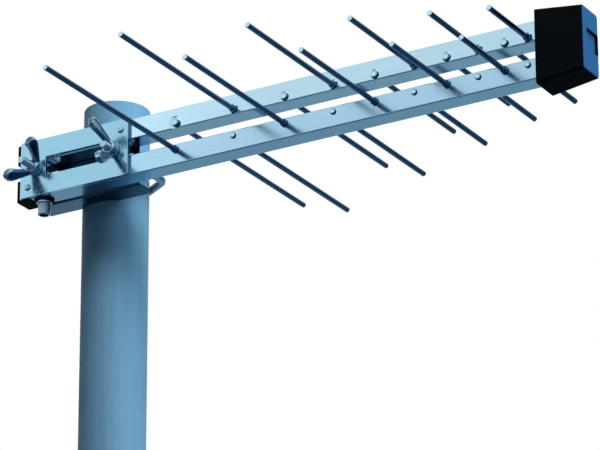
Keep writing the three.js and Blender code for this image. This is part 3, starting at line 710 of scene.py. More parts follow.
def circle(radius: float, sides: int = 48, middle: Point = (0.0, 0.0)) -> list[Point]:
    """Returns the points of a circle, counter-clockwise."""
    return arc(middle, radius, 0, 360 - 360 / sides, sides - 1)


def stood_at(x: float, loop: Sequence[Point], middle: Vector = Vector()) -> list[Vector]:
    """Returns a flat loop stood across the booms at x, about a middle's y and z."""
    return [Vector((x, middle.y + y, middle.z + z)) for y, z in loop]


class Solid:
    """A closed mesh under construction, in millimetres, in the row frame."""

    def __init__(self, name: str) -> None:
        """Starts an empty solid with the name that its piece will have."""
        self.name = name
        self.mesh = bmesh.new()

    def ring(self, points: Iterable[Vector]) -> list[bmesh.types.BMVert]:
        """Adds a ring of vertices and returns them."""
        return [self.mesh.verts.new(point) for point in points]

    def bridge(self, first: Sequence, second: Sequence) -> None:
        """Joins two rings with faces; either may be a single vertex."""
        count = max(len(first), len(second))
        for i in range(count):
            j = (i + 1) % count
            corners = [first[i % len(first)], first[j % len(first)],
                       second[j % len(second)], second[i % len(second)]]
            self.mesh.faces.new(list(dict.fromkeys(corners)))

    def loft(self, rings: Sequence[Sequence]) -> None:
        """Joins each ring to the next."""
        for first, second in zip(rings, rings[1:]):
            self.bridge(first, second)

    def cap(self, outline: Sequence, holes: Sequence[Sequence] = ()) -> None:
        """Closes a ring with a flat face, around any holes.

        Args:
            outline: the outer ring's vertices.
            holes: the rings of the holes in it.
        """
        if not holes:
            self.mesh.faces.new(outline)
            return
        vertices = [v for ring in (outline, *holes) for v in ring]
        for corners in tessellate_polygon([[v.co for v in ring] for ring in (outline, *holes)]):
            self.mesh.faces.new([vertices[i] for i in corners])

    def skin(self, rings: Sequence[Sequence[Vector]], closed: bool = False) -> "Solid":
        """Lofts through rings of equal length, with flat ends or closed on itself.

        Args:
            rings: the rings' points.
            closed: whether the last ring joins the first.

        Returns:
            The solid itself.
        """
        made = [self.ring(points) for points in rings]
        self.loft(made)
        if closed:
            self.bridge(made[-1], made[0])
        else:
            self.cap(made[0])
            self.cap(made[-1])
        return self

    def revolve(self, profile: Sequence[Point], axis: Axis, origin: Vector,
                sides: int = 48, closed: bool = False,
                ripple: Optional[Callable[[float, float, float], float]] = None) -> "Solid":
        """Turns a profile about an axis.

        Args:
            profile: (radius, distance along the axis) pairs, from the axis back to it, or a
                closed outline.
            axis: the direction of the axis.
            origin: where distances are measured from.
            sides: pieces around.
            closed: whether the profile is a closed outline off the axis.
            ripple: changes a radius from (radius, along, angle), such as a thread.

        Returns:
            The solid itself.
        """
        along, side, other = axis.value
        on_axis = 1e-6
        rings = []
        for radius, distance in profile:
            middle = origin + along * distance
            if radius < on_axis:
                rings.append(self.ring([middle]))
                continue
            points = []
            for i in range(sides):
                turn = 2 * math.pi * i / sides
                size = ripple(radius, distance, turn) if ripple else radius
                points.append(middle + (side * math.cos(turn) + other * math.sin(turn)) * size)
            rings.append(self.ring(points))
        self.loft(rings)
        if closed:
            self.bridge(rings[-1], rings[0])
        return self

    def plate(self, outline: Callable[[float], list], holes: Sequence[Callable[[float], list]],
              place: Callable[[float, float, float], Vector], thickness: float, edge: float,
              steps: int = 3) -> "Solid":
        """A flat plate with rounded edges, around any holes.

        Args:
            outline: gives the outer loop, drawn in by an amount.
            holes: each gives a hole's loop, drawn in by an amount, so grown by a negative one.
            place: puts (first, second, depth) into the row frame.
            thickness: the plate's thickness.
            edge: radius of its edges.
            steps: pieces in each rounded edge.

        Returns:
            The solid itself.
        """
        bend = [(edge * (1 - math.sin(math.pi / 2 * i / steps)),
                 edge * (1 - math.cos(math.pi / 2 * i / steps))) for i in range(steps + 1)]
        levels = bend + [(inset, thickness - depth) for inset, depth in reversed(bend)]
        ends = []
        for sign, loop in [(1, outline), *((-1, hole) for hole in holes)]:
            rings = [self.ring(place(*point, depth) for point in loop(sign * inset))
                     for inset, depth in levels]
            self.loft(rings)
            ends.append((rings[0], rings[-1]))
        for side in (0, 1):
            self.cap(ends[0][side], [pair[side] for pair in ends[1:]])
        return self

    def sweep(self, stations: Sequence[tuple[Vector, Vector, Vector, float]], sides: int = 32,
              ripple: Optional[Callable[[int, float], float]] = None) -> "Solid":
        """A round rod along a route.

        Args:
            stations: (point, first side, second side, radius) along the route.
            sides: pieces around.
            ripple: changes the radius from (station, angle), such as a thread.

        Returns:
            The solid itself.
        """
        rings = []
        for number, (point, side, other, radius) in enumerate(stations):
            loop = []
            for i in range(sides):
                turn = 2 * math.pi * i / sides
                size = radius * (ripple(number, turn) if ripple else 1.0)
                loop.append(point + (side * math.cos(turn) + other * math.sin(turn)) * size)
            rings.append(loop)
        return self.skin(rings)

    def object(self, scale: float = MM) -> bpy.types.Object:
        """Turns the solid into a linked object in metres, its faces facing out."""
        bmesh.ops.recalc_face_normals(self.mesh, faces=self.mesh.faces)
        data = bpy.data.meshes.new(self.name)
        self.mesh.to_mesh(data)
        self.mesh.free()
        data.transform(Matrix.Scale(scale, 4))
        made = bpy.data.objects.new(self.name, data)
        bpy.context.scene.collection.objects.link(made)
        return made


def combine(base: bpy.types.Object, tools: Sequence[bpy.types.Object], operation: str
            ) -> bpy.types.Object:
    """Cuts tools out of an object, or joins them to it, and removes them.

    Args:
        base: the object that is kept.
        tools: the objects that are used up.
        operation: DIFFERENCE or UNION.

    Returns:
        The base, with its new mesh.
    """
    for tool in tools:
        step = base.modifiers.new("combine", "BOOLEAN")
        step.operation = operation
        step.solver = "EXACT"
        step.object = tool
    bpy.context.view_layer.update()
    shaped = base.evaluated_get(bpy.context.evaluated_depsgraph_get())
    data = bpy.data.meshes.new_from_object(shaped)
    base.modifiers.clear()
    base.data = data
    for tool in tools:
        bpy.data.objects.remove(tool)
    return base


class Workshop:
    """Dresses finished solids: material, shading, body and the nodes they stand for."""

    @staticmethod
    def deliver(made: bpy.types.Object, look: Look, body: Body, *nodes: str,
                sharp: float = 30.0) -> bpy.types.Object:
        """Finishes a piece and hands it over to the frame.

        Args:
            made: the piece, in place.
            look: its finish.
            body: the body that it rides on.
            nodes: the nodes that it stands for.
            sharp: edges that turn by more than this many degrees stay sharp.

        Returns:
            The piece.
        """
        made.data.materials.clear()
        made.data.materials.append(look.material())
        made.data.shade_smooth()
        made.data.set_sharp_from_angle(angle=math.radians(sharp))
        weighted = made.modifiers.new("flat_faces_stay_flat", "WEIGHTED_NORMAL")
        weighted.keep_sharp = True
        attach(made, body.value)
        if nodes:
            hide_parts(*nodes)
        LOG.info("%s rides on %s with %d faces", made.name, body.value, len(made.data.polygons))
        return made


# ---- mast ----


@dataclass
class Mast:
    """The round tube that the antenna is clamped to.

    Args:
        shop: dresses the piece.
        wall: the tube's wall.
        edge: how far its sawn ends are deburred.
    """

    shop: Workshop
    wall: float = 2.5
    edge: float = 0.35

    def build(self) -> None:
        """Makes the tube from its foot to its open top."""
        low, high = box_of("mast_tube")
        radius = (high.x - low.x) / 2
        bore, height, e = radius - self.wall, high.z - low.z, self.edge
        turn, belts = 0.3 * e, 12
        levels = [i * height / belts for i in range(1, belts)]
        profile = [(bore + e, 0), (radius - e, 0), (radius - turn, turn), (radius, e)]
        profile += [(radius, level) for level in levels]
        profile += [(radius, height - e), (radius - turn, height - turn), (radius - e, height),
                    (bore + e, height), (bore + turn, height - turn), (bore, height - e)]
        profile += [(bore, level) for level in reversed(levels)]
        profile += [(bore, e), (bore + turn, turn)]
        tube = Solid("mast_skin").revolve(profile, Axis.UP, Vector((0, 0, low.z)), 128, closed=True)
        self.shop.deliver(tube.object(), Look.MAST, Body.MAST, "mast_tube", sharp=40)


# ---- booms and rods ----


@dataclass
class Booms:
    """The two square booms, with a pressed dish around every rod and an open front end.

    Args:
        shop: dresses the pieces.
        wall: the tube's wall.
        corner: outer corner radius.
        chamfer: how far the sawn ends are deburred.
        dishes: each boom's node and finish, with the radius and depth of the dish pressed around
            each of its joints.
        deep_dish: the same two at the first dipole's upper joint.
    """

    shop: Workshop
    wall: float = 1.2
    corner: float = 1.0
    chamfer: float = 0.12
    dishes: tuple = (("upper_boom", Look.UPPER_BOOM, (4.1, 0.62)),
                     ("lower_boom", Look.LOWER_BOOM, (3.6, 0.2)))
    deep_dish: tuple[float, float] = (5.6, 0.9)

    def build(self) -> None:
        """Makes both booms."""
        for name, look, dish in self.dishes:
            self._boom(name, look, dish)

    def _boom(self, name: str, look: Look, dish: tuple[float, float]) -> None:
        """Makes one boom's tube and presses its dishes.

        Args:
            name: the boom's node.
            look: its finish.
            dish: radius and depth of its dishes.
        """
        low, high = box_of(name)
        middle, side, cut = (low + high) / 2, high.y - low.y, self.chamfer
        rings = []
        for x, drawn_in in ((low.x, cut), (low.x + cut, 0), (high.x - cut, 0), (high.x, cut)):
            loop = rounded_rectangle(side - 2 * drawn_in, side - 2 * drawn_in, self.corner, 12)
            rings.append(stood_at(x, loop, middle))
        inner = side - 2 * self.wall
        hollow = rounded_rectangle(inner, inner, self.corner / 3, 12)
        rings += [stood_at(x, hollow, middle) for x in (high.x, low.x)]
        tube = Solid(name + "_skin").skin(rings, closed=True).object()
        cutters = Solid("dishes")
        past_rim = 0.4
        for rod in Rods.names():
            centre = centre_of(rod)
            if not low.z < centre.z < high.z:
                continue
            for face in (low.y, high.y):
                deep = rod == "d01_rear_rod" and face == low.y
                radius, depth = self.deep_dish if deep else dish
                ball = (radius * radius + depth * depth) / (2 * depth)
                outward = Axis.FRONT if face == low.y else Axis.BACK
                reach = math.degrees(math.asin((radius + past_rim) / ball))
                curve = arc((0, ball - depth), ball, -90, -90 + reach, 7)
                profile = [(0.0, -depth), *curve[1:], (0.0, curve[-1][1])]
                cutters.revolve(profile, outward, Vector((centre.x, face, centre.z)), 32)
        combine(tube, [cutters.object()], "DIFFERENCE")
        self.shop.deliver(tube, look, Body.ANTENNA, name, sharp=9)


@dataclass
class Rods:
    """The twenty rods of the ten dipoles: tip, swaged collar, shank and peened head.

    Args:
        shop: dresses the pieces.
        diameter: the rods' diameter.
        collar: the swaged collar's radius and length.
        flutes: how many grip marks the swage leaves around the collar.
        grip: depth of the marks.
        heads: the peened heads' radius on the upper and on the lower boom, and their height.
        dome: a head's section, as shares of its radius and of its height.
        tip: chamfer of the cut end.
    """

    shop: Workshop
    diameter: float = 4.0
    collar: tuple[float, float] = (2.75, 4.0)
    flutes: int = 12
    grip: float = 0.07
    heads: tuple[float, float, float] = (2.8, 2.35, 1.3)
    dome: tuple[Point, ...] = ((0.0, 0.86), (0.22, 0.90), (0.42, 0.98), (0.56, 1.0), (0.70, 0.93),
                               (0.84, 0.74), (0.94, 0.48), (1.0, 0.2))
    tip: float = 0.3

    @staticmethod
    def names() -> list[str]:
        """Returns the names of the rods' nodes."""
        return [f"d{n:02d}_{side}_rod" for n in range(1, 11) for side in ("front", "rear")]

    def build(self) -> None:
        """Makes all the rods."""
        boom_low, boom_high = box_of("upper_boom")
        for name in self.names():
            self._rod(name, boom_low.y, boom_high.y, boom_low.z)

    def _rod(self, name: str, front_face: float, rear_face: float, boom_gap: float) -> None:
        """Makes one rod.

        Args:
            name: the rod's node.
            front_face: y of the boom's front face.
            rear_face: y of its rear face.
            boom_gap: height of the upper boom's underside.
        """
        low, high = box_of(name)
        to_front = name.endswith("front_rod")
        middle = (low + high) / 2
        start = Vector((middle.x, front_face if to_front else rear_face, middle.z))
        through = rear_face - front_face
        reach = (front_face - low.y) if to_front else (high.y - rear_face)
        radius = self.diameter / 2
        rim, length = self.collar
        on_upper, on_lower, rise = self.heads
        head = on_upper if middle.z > boom_gap else on_lower
        lift, clear, steps = 0.3, 0.05, 6
        foot, end = lift * 0.2, length + 0.5
        profile = [(share * head, -through - rise * height) for share, height in self.dome]
        profile += [
            (head, -through - clear), (radius, -through - clear), (radius, foot),
            (rim - 0.25, foot), (rim, 0.3 + lift), (rim, length * 0.4),
            (rim - 0.18, length * 0.6), (radius + 0.34, length * 0.8), (radius + 0.1, length * 0.95),
            (radius, end)]
        span = reach - self.tip - end
        profile += [(radius, end + span * i / steps) for i in range(1, steps + 1)]
        profile += [(radius - self.tip, reach), (0.0, reach)]

        def marks(size: float, along: float, turn: float) -> float:
            """Returns the radius with the swage's grip marks pressed into the collar."""
            if 0.4 < along < length * 0.9 and size > radius + 0.1:
                return size - self.grip * max(0.0, math.cos(self.flutes * turn)) ** 2
            return size

        axis = Axis.FRONT if to_front else Axis.BACK
        rod = Solid(name + "_turned").revolve(profile, axis, start, 48, ripple=marks)
        self.shop.deliver(rod.object(), Look.ROD, Body.ANTENNA, name, sharp=28)


@dataclass
class RearCaps:
    """The plastic caps in the booms' rear ends; the lower one wraps under its boom.

    Args:
        shop: dresses the pieces.
        flange: thickness of the flange.
        edge: radius of its edges.
        plug: how much smaller than the boom the plug is on each side.
        ends: where the plug begins to narrow and where it ends, from the boom's end.
    """

    shop: Workshop
    flange: float = 2.2
    edge: float = 0.5
    plug: float = 1.5
    ends: tuple[float, float] = (4.4, 5.0)

    def build(self) -> None:
        """Makes both caps."""
        for name, boom in (("upper_rear_cap", "upper_boom"), ("lower_rear_cap", "lower_boom")):
            self._cap(name, boom)

    def _cap(self, name: str, boom: str) -> None:
        """Makes one cap.

        Args:
            name: the cap's node.
            boom: the boom that it closes.
        """
        low, high = box_of(name)
        boom_low, boom_high = box_of(boom)
        middle, side = (boom_low + boom_high) / 2, boom_high.y - boom_low.y
        e, inner = self.edge, side - 2 * self.plug

        def level(x: float, drawn_in: float, top: float, bottom: float) -> list[Vector]:
            """Returns a ring of the flange at x, drawn in on all sides."""
            return stood_at(x, rounded_rectangle(
                side - 2 * drawn_in, top - bottom - 2 * drawn_in, 1.0, 6,
                (middle.y, (top + bottom) / 2)))

        top, bottom = boom_high.z, low.z
        rings = [level(low.x, e, top, bottom), level(low.x + 0.3 * e, 0.3 * e, top, bottom),
                 level(low.x + e, 0, top, bottom), level(low.x + self.flange, 0, top, bottom)]
        cap = Solid(name + "_moulded").skin(rings).object()
        narrows, end = (boom_low.x + distance for distance in self.ends)
        extras = [Solid("plug").skin([
            stood_at(x, rounded_rectangle(inner - d, inner - d, 0.8, 5), middle)
            for x, d in ((low.x + self.flange - 0.5, 0), (narrows, 0), (end, 1.0))]).object()]
        if bottom < boom_low.z - 0.5:
            lip_top = boom_low.z - 0.3
            thick = lip_top - bottom
            about = (middle.y, (lip_top + bottom) / 2)
            extras.append(Solid("lip").skin([
                stood_at(x, rounded_rectangle(side - 2 * d, thick - d, 0.4, 4, about))
                for x, d in ((low.x + 0.6, 0), (high.x - 0.5, 0), (high.x, 0.5))]).object())
        combine(cap, extras, "UNION")
        self.shop.deliver(cap, Look.PLASTIC, Body.ANTENNA, name, sharp=35)


# ---- clamp ----


@dataclass
class Clamp:
    """The front plate, its rivets, the notched channel behind the booms and the washers.

    Args:
        shop: dresses the pieces.
        plate_edge: radius of the plate's sheared edges.
        leg_hole: radius of the holes that the bolt's legs pass through.
        window: width, height and corner radius of the window.
        jaw_wall: the channel's sheet thickness.
        jaw_bend: its outer bend radius.
        slot: the web's slots, nearest and farthest |x| and height.
        notch: radius of the notch that takes the mast.
    """

    shop: Workshop
    plate_edge: float = 0.3
    leg_hole: float = 3.45
    window: tuple[float, float, float] = (50.0, 14.5, 0.6)
    jaw_wall: float = 1.5
    jaw_bend: float = 2.2
    slot: tuple[float, float, float] = (25.0, 41.0, 7.0)
    notch: float = 25.3

    def build(self) -> None:
        """Makes the clamp's fixed pieces."""
        self._plate()
        self._jaw()
        for name in ("upper_plate_rivet", "lower_plate_rivet"):
            self._rivet(name)
        for name in ("rear_washer", "front_washer"):
            self._washer(name)

    def _plate(self) -> None:
        """Makes the plate, with its window and the legs' holes."""
        low, high = box_of("clamp_plate")
        middle = (low + high) / 2
        width, height = high.x - low.x, high.z - low.z
        legs = [centre_of(name).x for name in ("rear_washer", "front_washer")]

        def outline(inset: float) -> list:
            """Returns the plate's outline, drawn in."""
            return rounded_rectangle(width - 2 * inset, height - 2 * inset, 1.0, 5)

        def window(inset: float) -> list:
            """Returns the window's outline, drawn in."""
            across, up, radius = self.window
            return rounded_rectangle(across - 2 * inset, up - 2 * inset, radius, 5)

        def leg(x: float) -> Callable[[float], list]:
            """Returns the outline of a leg's hole."""
            return lambda inset: circle(self.leg_hole - inset, 36, (x - middle.x, 0))

        def place(x: float, z: float, depth: float) -> Vector:
            """Puts a point of the outline at a depth behind the plate's front."""
            return Vector((middle.x + x, low.y + depth, middle.z + z))

        plate = Solid("clamp_plate_pressed").plate(
            outline, [window, *(leg(x) for x in legs)], place, high.y - low.y, self.plate_edge)
        self.shop.deliver(plate.object(), Look.PLATE, Body.ANTENNA, "clamp_plate", sharp=35)

    def _jaw(self) -> None:
        """Makes the channel: bent sheet, notched for the mast and slotted for the legs."""
        low, high = box_of("mast_jaw")
        wall, bend = self.jaw_wall, self.jaw_bend
        front, back, bottom, top = low.y, high.y, low.z, high.z
        rim = 0.25
        section = [(back, top - rim), (back - rim, top)]
        section += arc((front + bend, top - bend), bend, 90, 180, 6)
        section += arc((front + bend, bottom + bend), bend, 180, 270, 6)
        section += [(back - rim, bottom), (back, bottom + rim), (back, bottom + wall - rim),
                    (back - rim, bottom + wall)]
        section += arc((front + bend, bottom + bend), bend - wall, 270, 180, 6)
        section += arc((front + bend, top - bend), bend - wall, 180, 90, 6)
        section += [(back - rim, top - wall), (back, top - wall + rim)]
        jaw = Solid("mast_jaw_bent").skin([stood_at(x, section) for x in (low.x, high.x)]).object()
        under, over = -5, top - bottom + 5
        tools = Solid("jaw_tools").revolve(
            [(0.0, under), (self.notch, under), (self.notch, over), (0.0, over)],
            Axis.UP, Vector((0, 0, bottom)), 96)
        near, far, tall = self.slot
        middle_z = (top + bottom) / 2
        for side in (-1, 1):
            loop = rounded_rectangle(far - near, tall, tall / 2 - 0.02, 10,
                                     (side * (near + far) / 2, middle_z))
            tools.skin([[Vector((x, y, z)) for x, z in loop] for y in (front - 1, front + wall + 2)])
        combine(jaw, [tools.object()], "DIFFERENCE")
        self.shop.deliver(jaw, Look.JAW, Body.ANTENNA, "mast_jaw", sharp=22)

    def _rivet(self, name: str) -> None:
        """Makes a rivet: a low domed head with its mandrel's end, and the tail in the boom."""
        low, high = box_of(name)
        radius, seat = (high.x - low.x) / 2, low.y + 1.2
        profile = [(0.0, 0.86), (0.5, 0.88), (0.72, 1.05), (1.1, 1.12), (1.6, 1.02), (2.1, 0.74),
                   (2.6, 0.36), (radius, 0.1), (radius, 0.0), (1.6, 0.0), (1.6, -4.6), (2.2, -4.7),
                   (2.3, -5.4), (1.8, -6.0), (0.0, -6.1)]
        rivet = Solid(name + "_set").revolve(
            profile, Axis.FRONT, Vector((centre_of(name).x, seat, centre_of(name).z)), 40)
        self.shop.deliver(rivet.object(), Look.STEEL, Body.ANTENNA, name, sharp=30)

    def _washer(self, name: str) -> None:
        """Makes a stamped washer with one rounded and one sharp edge."""
        low, high = box_of(name)
        radius, thick, hole = (high.x - low.x) / 2, high.y - low.y, 3.35
        profile = [(hole, 0.0), (radius - 0.1, 0.0), (radius, 0.1), (radius, thick - 0.35),
                   (radius - 0.1, thick - 0.12), (radius - 0.35, thick), (3.6, thick),
                   (hole, thick - 0.25)]
        middle = centre_of(name)
        washer = Solid(name + "_stamped").revolve(
            profile, Axis.FRONT, Vector((middle.x, high.y, middle.z)), 56, closed=True)
        self.shop.deliver(washer.object(), Look.STEEL, Body.ANTENNA, name, sharp=35)


@dataclass
class VBolt:
    """The bent bolt round the mast, with rolled threads on both legs.

    Args:
        shop: dresses the piece.
        radius: the bolt's radius.
        pitch: the thread's pitch.
        thread: how far the thread runs from each end.
        depth: the thread's depth.
        leg: |x| of the legs.
        corner: bend radius at each corner.
        slope: angle of each side of the V, in degrees.
        bow: radius of the bow about the mast's axis.
        shorter: how much less the front leg stands out.
        chamfer: of the legs' ends.
    """

    shop: Workshop
    radius: float = 3.0
    pitch: float = 1.0
    thread: float = 47.0
    depth: float = 0.55
    leg: float = 34.0
    corner: float = 8.0
    slope: float = 30.0
    bow: float = 28.3
    shorter: float = 6.5
    chamfer: float = 0.6

    def _half(self, end: float) -> list[Point]:
        """Points of half the bolt's centreline in plan, from a leg's end to the bow's middle.

        Args:
            end: y of the leg's end.

        Returns:
            The points, at positive x.
        """
        slope = math.radians(self.slope)
        tangent = math.pi / 2 - slope
        meet = (self.bow * math.cos(tangent), self.bow * math.sin(tangent))
        corner_y = meet[1] - (self.leg - meet[0]) * math.tan(slope)
        bend = corner_y - self.corner * math.tan(tangent / 2)
        step = self.pitch / 6
        count = int(self.thread / step)
        full = end + self.chamfer
        half = [(self.leg, end), (self.leg, end + 0.25), (self.leg, full)]
        half += [(self.leg, full + step * i) for i in range(1, count)]
        last = half[-1][1]
        half += [(self.leg, last + (bend - last) * i / 6) for i in range(1, 6)]
        half += arc((self.leg - self.corner, bend), self.corner, 0, 90 - self.slope, 14)
        here = half[-1]
        half += [(here[0] + (meet[0] - here[0]) * i / 3, here[1] + (meet[1] - here[1]) * i / 3)
                 for i in range(1, 3)]
        return half + arc((0, 0), self.bow, 90 - self.slope, 90, 10)

    def build(self) -> None:
        """Makes the bolt."""
        low, high = box_of("v_bolt")
        height = (low.z + high.z) / 2
        front_end, rear_end = low.y + self.shorter, low.y
        points = self._half(front_end)
        points += [(-x, y) for x, y in reversed(self._half(rear_end)[:-1])]
        straight, run_out = self.leg - 0.01, 2.0
        up = Vector((0, 0, 1))
        stations = []
        for i, (x, y) in enumerate(points):
            before, after = points[max(0, i - 1)], points[min(len(points) - 1, i + 1)]
            ahead = Vector((after[0] - before[0], after[1] - before[1], 0)).normalized()
            from_end = y - (front_end if x > 0 else rear_end) if abs(x) > straight else self.thread
            size = self.radius - max(0.0, self.chamfer - from_end)
            stations.append((Vector((x, y, height)), ahead.cross(up), up, size))

        def rolled(number: int, turn: float) -> float:
            """Returns the share of the radius left by the thread at a station and angle."""
            x, y = points[number]
            along = y - (front_end if x > 0 else rear_end)
            if abs(x) < straight or along < 0.05 or along > self.thread:
                return 1.0
            way = turn if x > 0 else -turn
            phase = (along / self.pitch + way / (2 * math.pi)) % 1.0
            fade = min(1.0, (self.thread - along) / run_out)
            return 1.0 - fade * self.depth / self.radius * abs(2 * phase - 1)

        bolt = Solid("v_bolt_rolled").sweep(stations, 28, rolled)
        self.shop.deliver(bolt.object(), Look.V_BOLT, Body.V_BOLT, "v_bolt", sharp=40)


@dataclass
class WingNuts:
    """The two cast wing nuts: a low round hub and two thick, dished paddles in one plane.

    Args:
        shop: dresses the pieces.
        turns: each nut's node, its body and how far it is turned about its leg, in degrees.
        hub: the hub's section, as radius and height over the seat.
        spine: (distance from the axis, height over the seat, half width) along a paddle, from
            inside the hub to the middle of its round crown.
        thickness: thickness at the root and at the crown.
        edge: radius of the paddles' edges.
        dish: how far a paddle's faces are hollowed inside their rim.
        rim: width of the rim round the hollow.
        bore: radius of the threaded hole.
        crown_steps: how many pieces the round crown is cut into.
    """

    shop: Workshop
    turns: tuple = (("rear_wing_nut", Body.REAR_NUT, 49.0), ("front_wing_nut", Body.FRONT_NUT, 103.0))
    hub: tuple[Point, ...] = ((2.6, 0.0), (5.6, 0.0), (5.9, 0.3), (5.9, 1.5), (5.7, 2.2), (5.2, 3.4),
                              (4.8, 4.0), (4.3, 4.35), (3.9, 4.4), (2.6, 4.4))
    spine: tuple = ((4.3, 0.9, 1.6), (5.2, 2.4, 2.3), (6.7, 4.8, 2.7), (9.3, 8.7, 3.2),
                    (12.0, 13.3, 4.1), (13.5, 16.2, 4.6), (14.2, 18.2, 4.7))
    thickness: tuple[float, float] = (4.0, 4.8)
    edge: float = 1.1
    dish: float = 0.5
    rim: float = 1.3
    bore: float = 3.31
    crown_steps: int = 12

    def build(self) -> None:
        """Makes both nuts."""
        for name, body, turn in self.turns:
            leg = centre_of("rear_washer" if body is Body.REAR_NUT else "front_washer")
            seat = box_of(name)[1].y
            angle = math.radians(turn)
            place = Matrix.Translation((leg.x, seat, leg.z)) @ Matrix((
                (math.cos(angle), -math.sin(angle), 0, 0),
                (0, 0, -1, 0),
                (math.sin(angle), math.cos(angle), 0, 0),
                (0, 0, 0, 1)))
            self._nut(name, body, place)

    def _stations(self) -> list[tuple[Vector, Vector, float, float]]:
        """Places along a paddle.

        Returns:
            For each: its middle in the paddle's plane, the direction across, the half width and
            how far the crown's end is.
        """
        knots = [Vector(knot) for knot in self.spine]
        fine: list[Vector] = []
        for i in range(len(knots) - 1):
            before, after = knots[max(0, i - 1)], knots[min(len(knots) - 1, i + 2)]
            for t in (0, 0.2, 0.4, 0.6, 0.8):
                first, second = (knots[i + 1] - before) / 2, (after - knots[i]) / 2
                fine.append(knots[i] * (2 * t**3 - 3 * t**2 + 1) + first * (t**3 - 2 * t**2 + t)
                            + knots[i + 1] * (3 * t**2 - 2 * t**3) + second * (t**3 - t**2))
        fine.append(knots[-1])
        ahead = (fine[-1] - fine[-4]).xy.normalized()
        crown = knots[-1].z
        flat = [(point.xy, point.z, crown + (knots[-1] - point).xy.length) for point in fine]
        for k in range(1, self.crown_steps + 1):
            turn = math.pi / 2 * k / self.crown_steps
            flat.append((knots[-1].xy + ahead * crown * math.sin(turn),
                         crown * math.cos(turn), crown * (1 - math.sin(turn))))
        stations = []
        for i, (point, half, left) in enumerate(flat):
            way = (flat[min(i + 1, len(flat) - 1)][0] - flat[max(i - 1, 0)][0]).normalized()
            stations.append((point, Vector((-way.y, way.x)), max(half, 0.02), max(left, 0.0)))
        return stations

    def _paddle(self, side: int) -> bpy.types.Object:
        """Makes one paddle in the nut's own frame, its axis along z.

        Args:
            side: 1 or -1, for the paddle along +x or -x.

        Returns:
            The paddle.
        """
        stations = self._stations()
        root, crown = self.thickness
        last = len(stations) - 1 - self.crown_steps
        fall, steps = 0.9, 16
        rings = []
        for number, (point, across, half, left) in enumerate(stations):
            share = min(1.0, number / last)
            body = (root + (crown - root) * share) / 2
            top, bottom = [], []
            for k in range(steps + 1):
                u = half * math.cos(math.pi * k / steps)
                rim = min(half - abs(u), left)
                inner = min(1.0, rim / self.edge)
                thick = body - self.edge + self.edge * math.sqrt(max(0.0, 1 - (1 - inner) ** 2))
                hollow = min(1.0, max(0.0, (rim - self.rim) / fall)) * min(1.0, share * 3)
                thick -= self.dish * hollow * hollow * (3 - 2 * hollow)
                spot = point + across * u
                top.append(Vector((side * spot.x, side * thick, spot.y)))
                bottom.append(Vector((side * spot.x, -side * thick, spot.y)))
            rings.append(top + bottom[::-1])
        return Solid("paddle").skin(rings).object(1.0)

    def _nut(self, name: str, body: Body, place: Matrix) -> None:
        """Joins hub and paddles, cuts the bore and puts the nut on its leg.

        Args:
            name: the nut's node.
            body: the body that it rides on.
            place: its place in the row frame, in millimetres.
        """
        up, origin = Axis.UP, Vector((0, 0, 0))
        hub = Solid(name + "_cast").revolve(self.hub, up, origin, 56, closed=True).object(1.0)
        combine(hub, [self._paddle(side) for side in (1, -1)], "UNION")
        sink, top = 0.5, self.hub[-1][1]
        wide = self.bore + sink
        bore = Solid("bore").revolve(
            [(0.0, -1), (wide, -1), (wide, 0.0), (self.bore, sink), (self.bore, top - sink),
             (wide, top), (wide, 30), (0.0, 30)], up, origin, 48).object(1.0)
        combine(hub, [bore], "DIFFERENCE")
        hub.data.transform(Matrix.Scale(MM, 4) @ place)
        self.shop.deliver(hub, Look.WING_NUT, body, name, sharp=32)


# ---- socket and feed ----


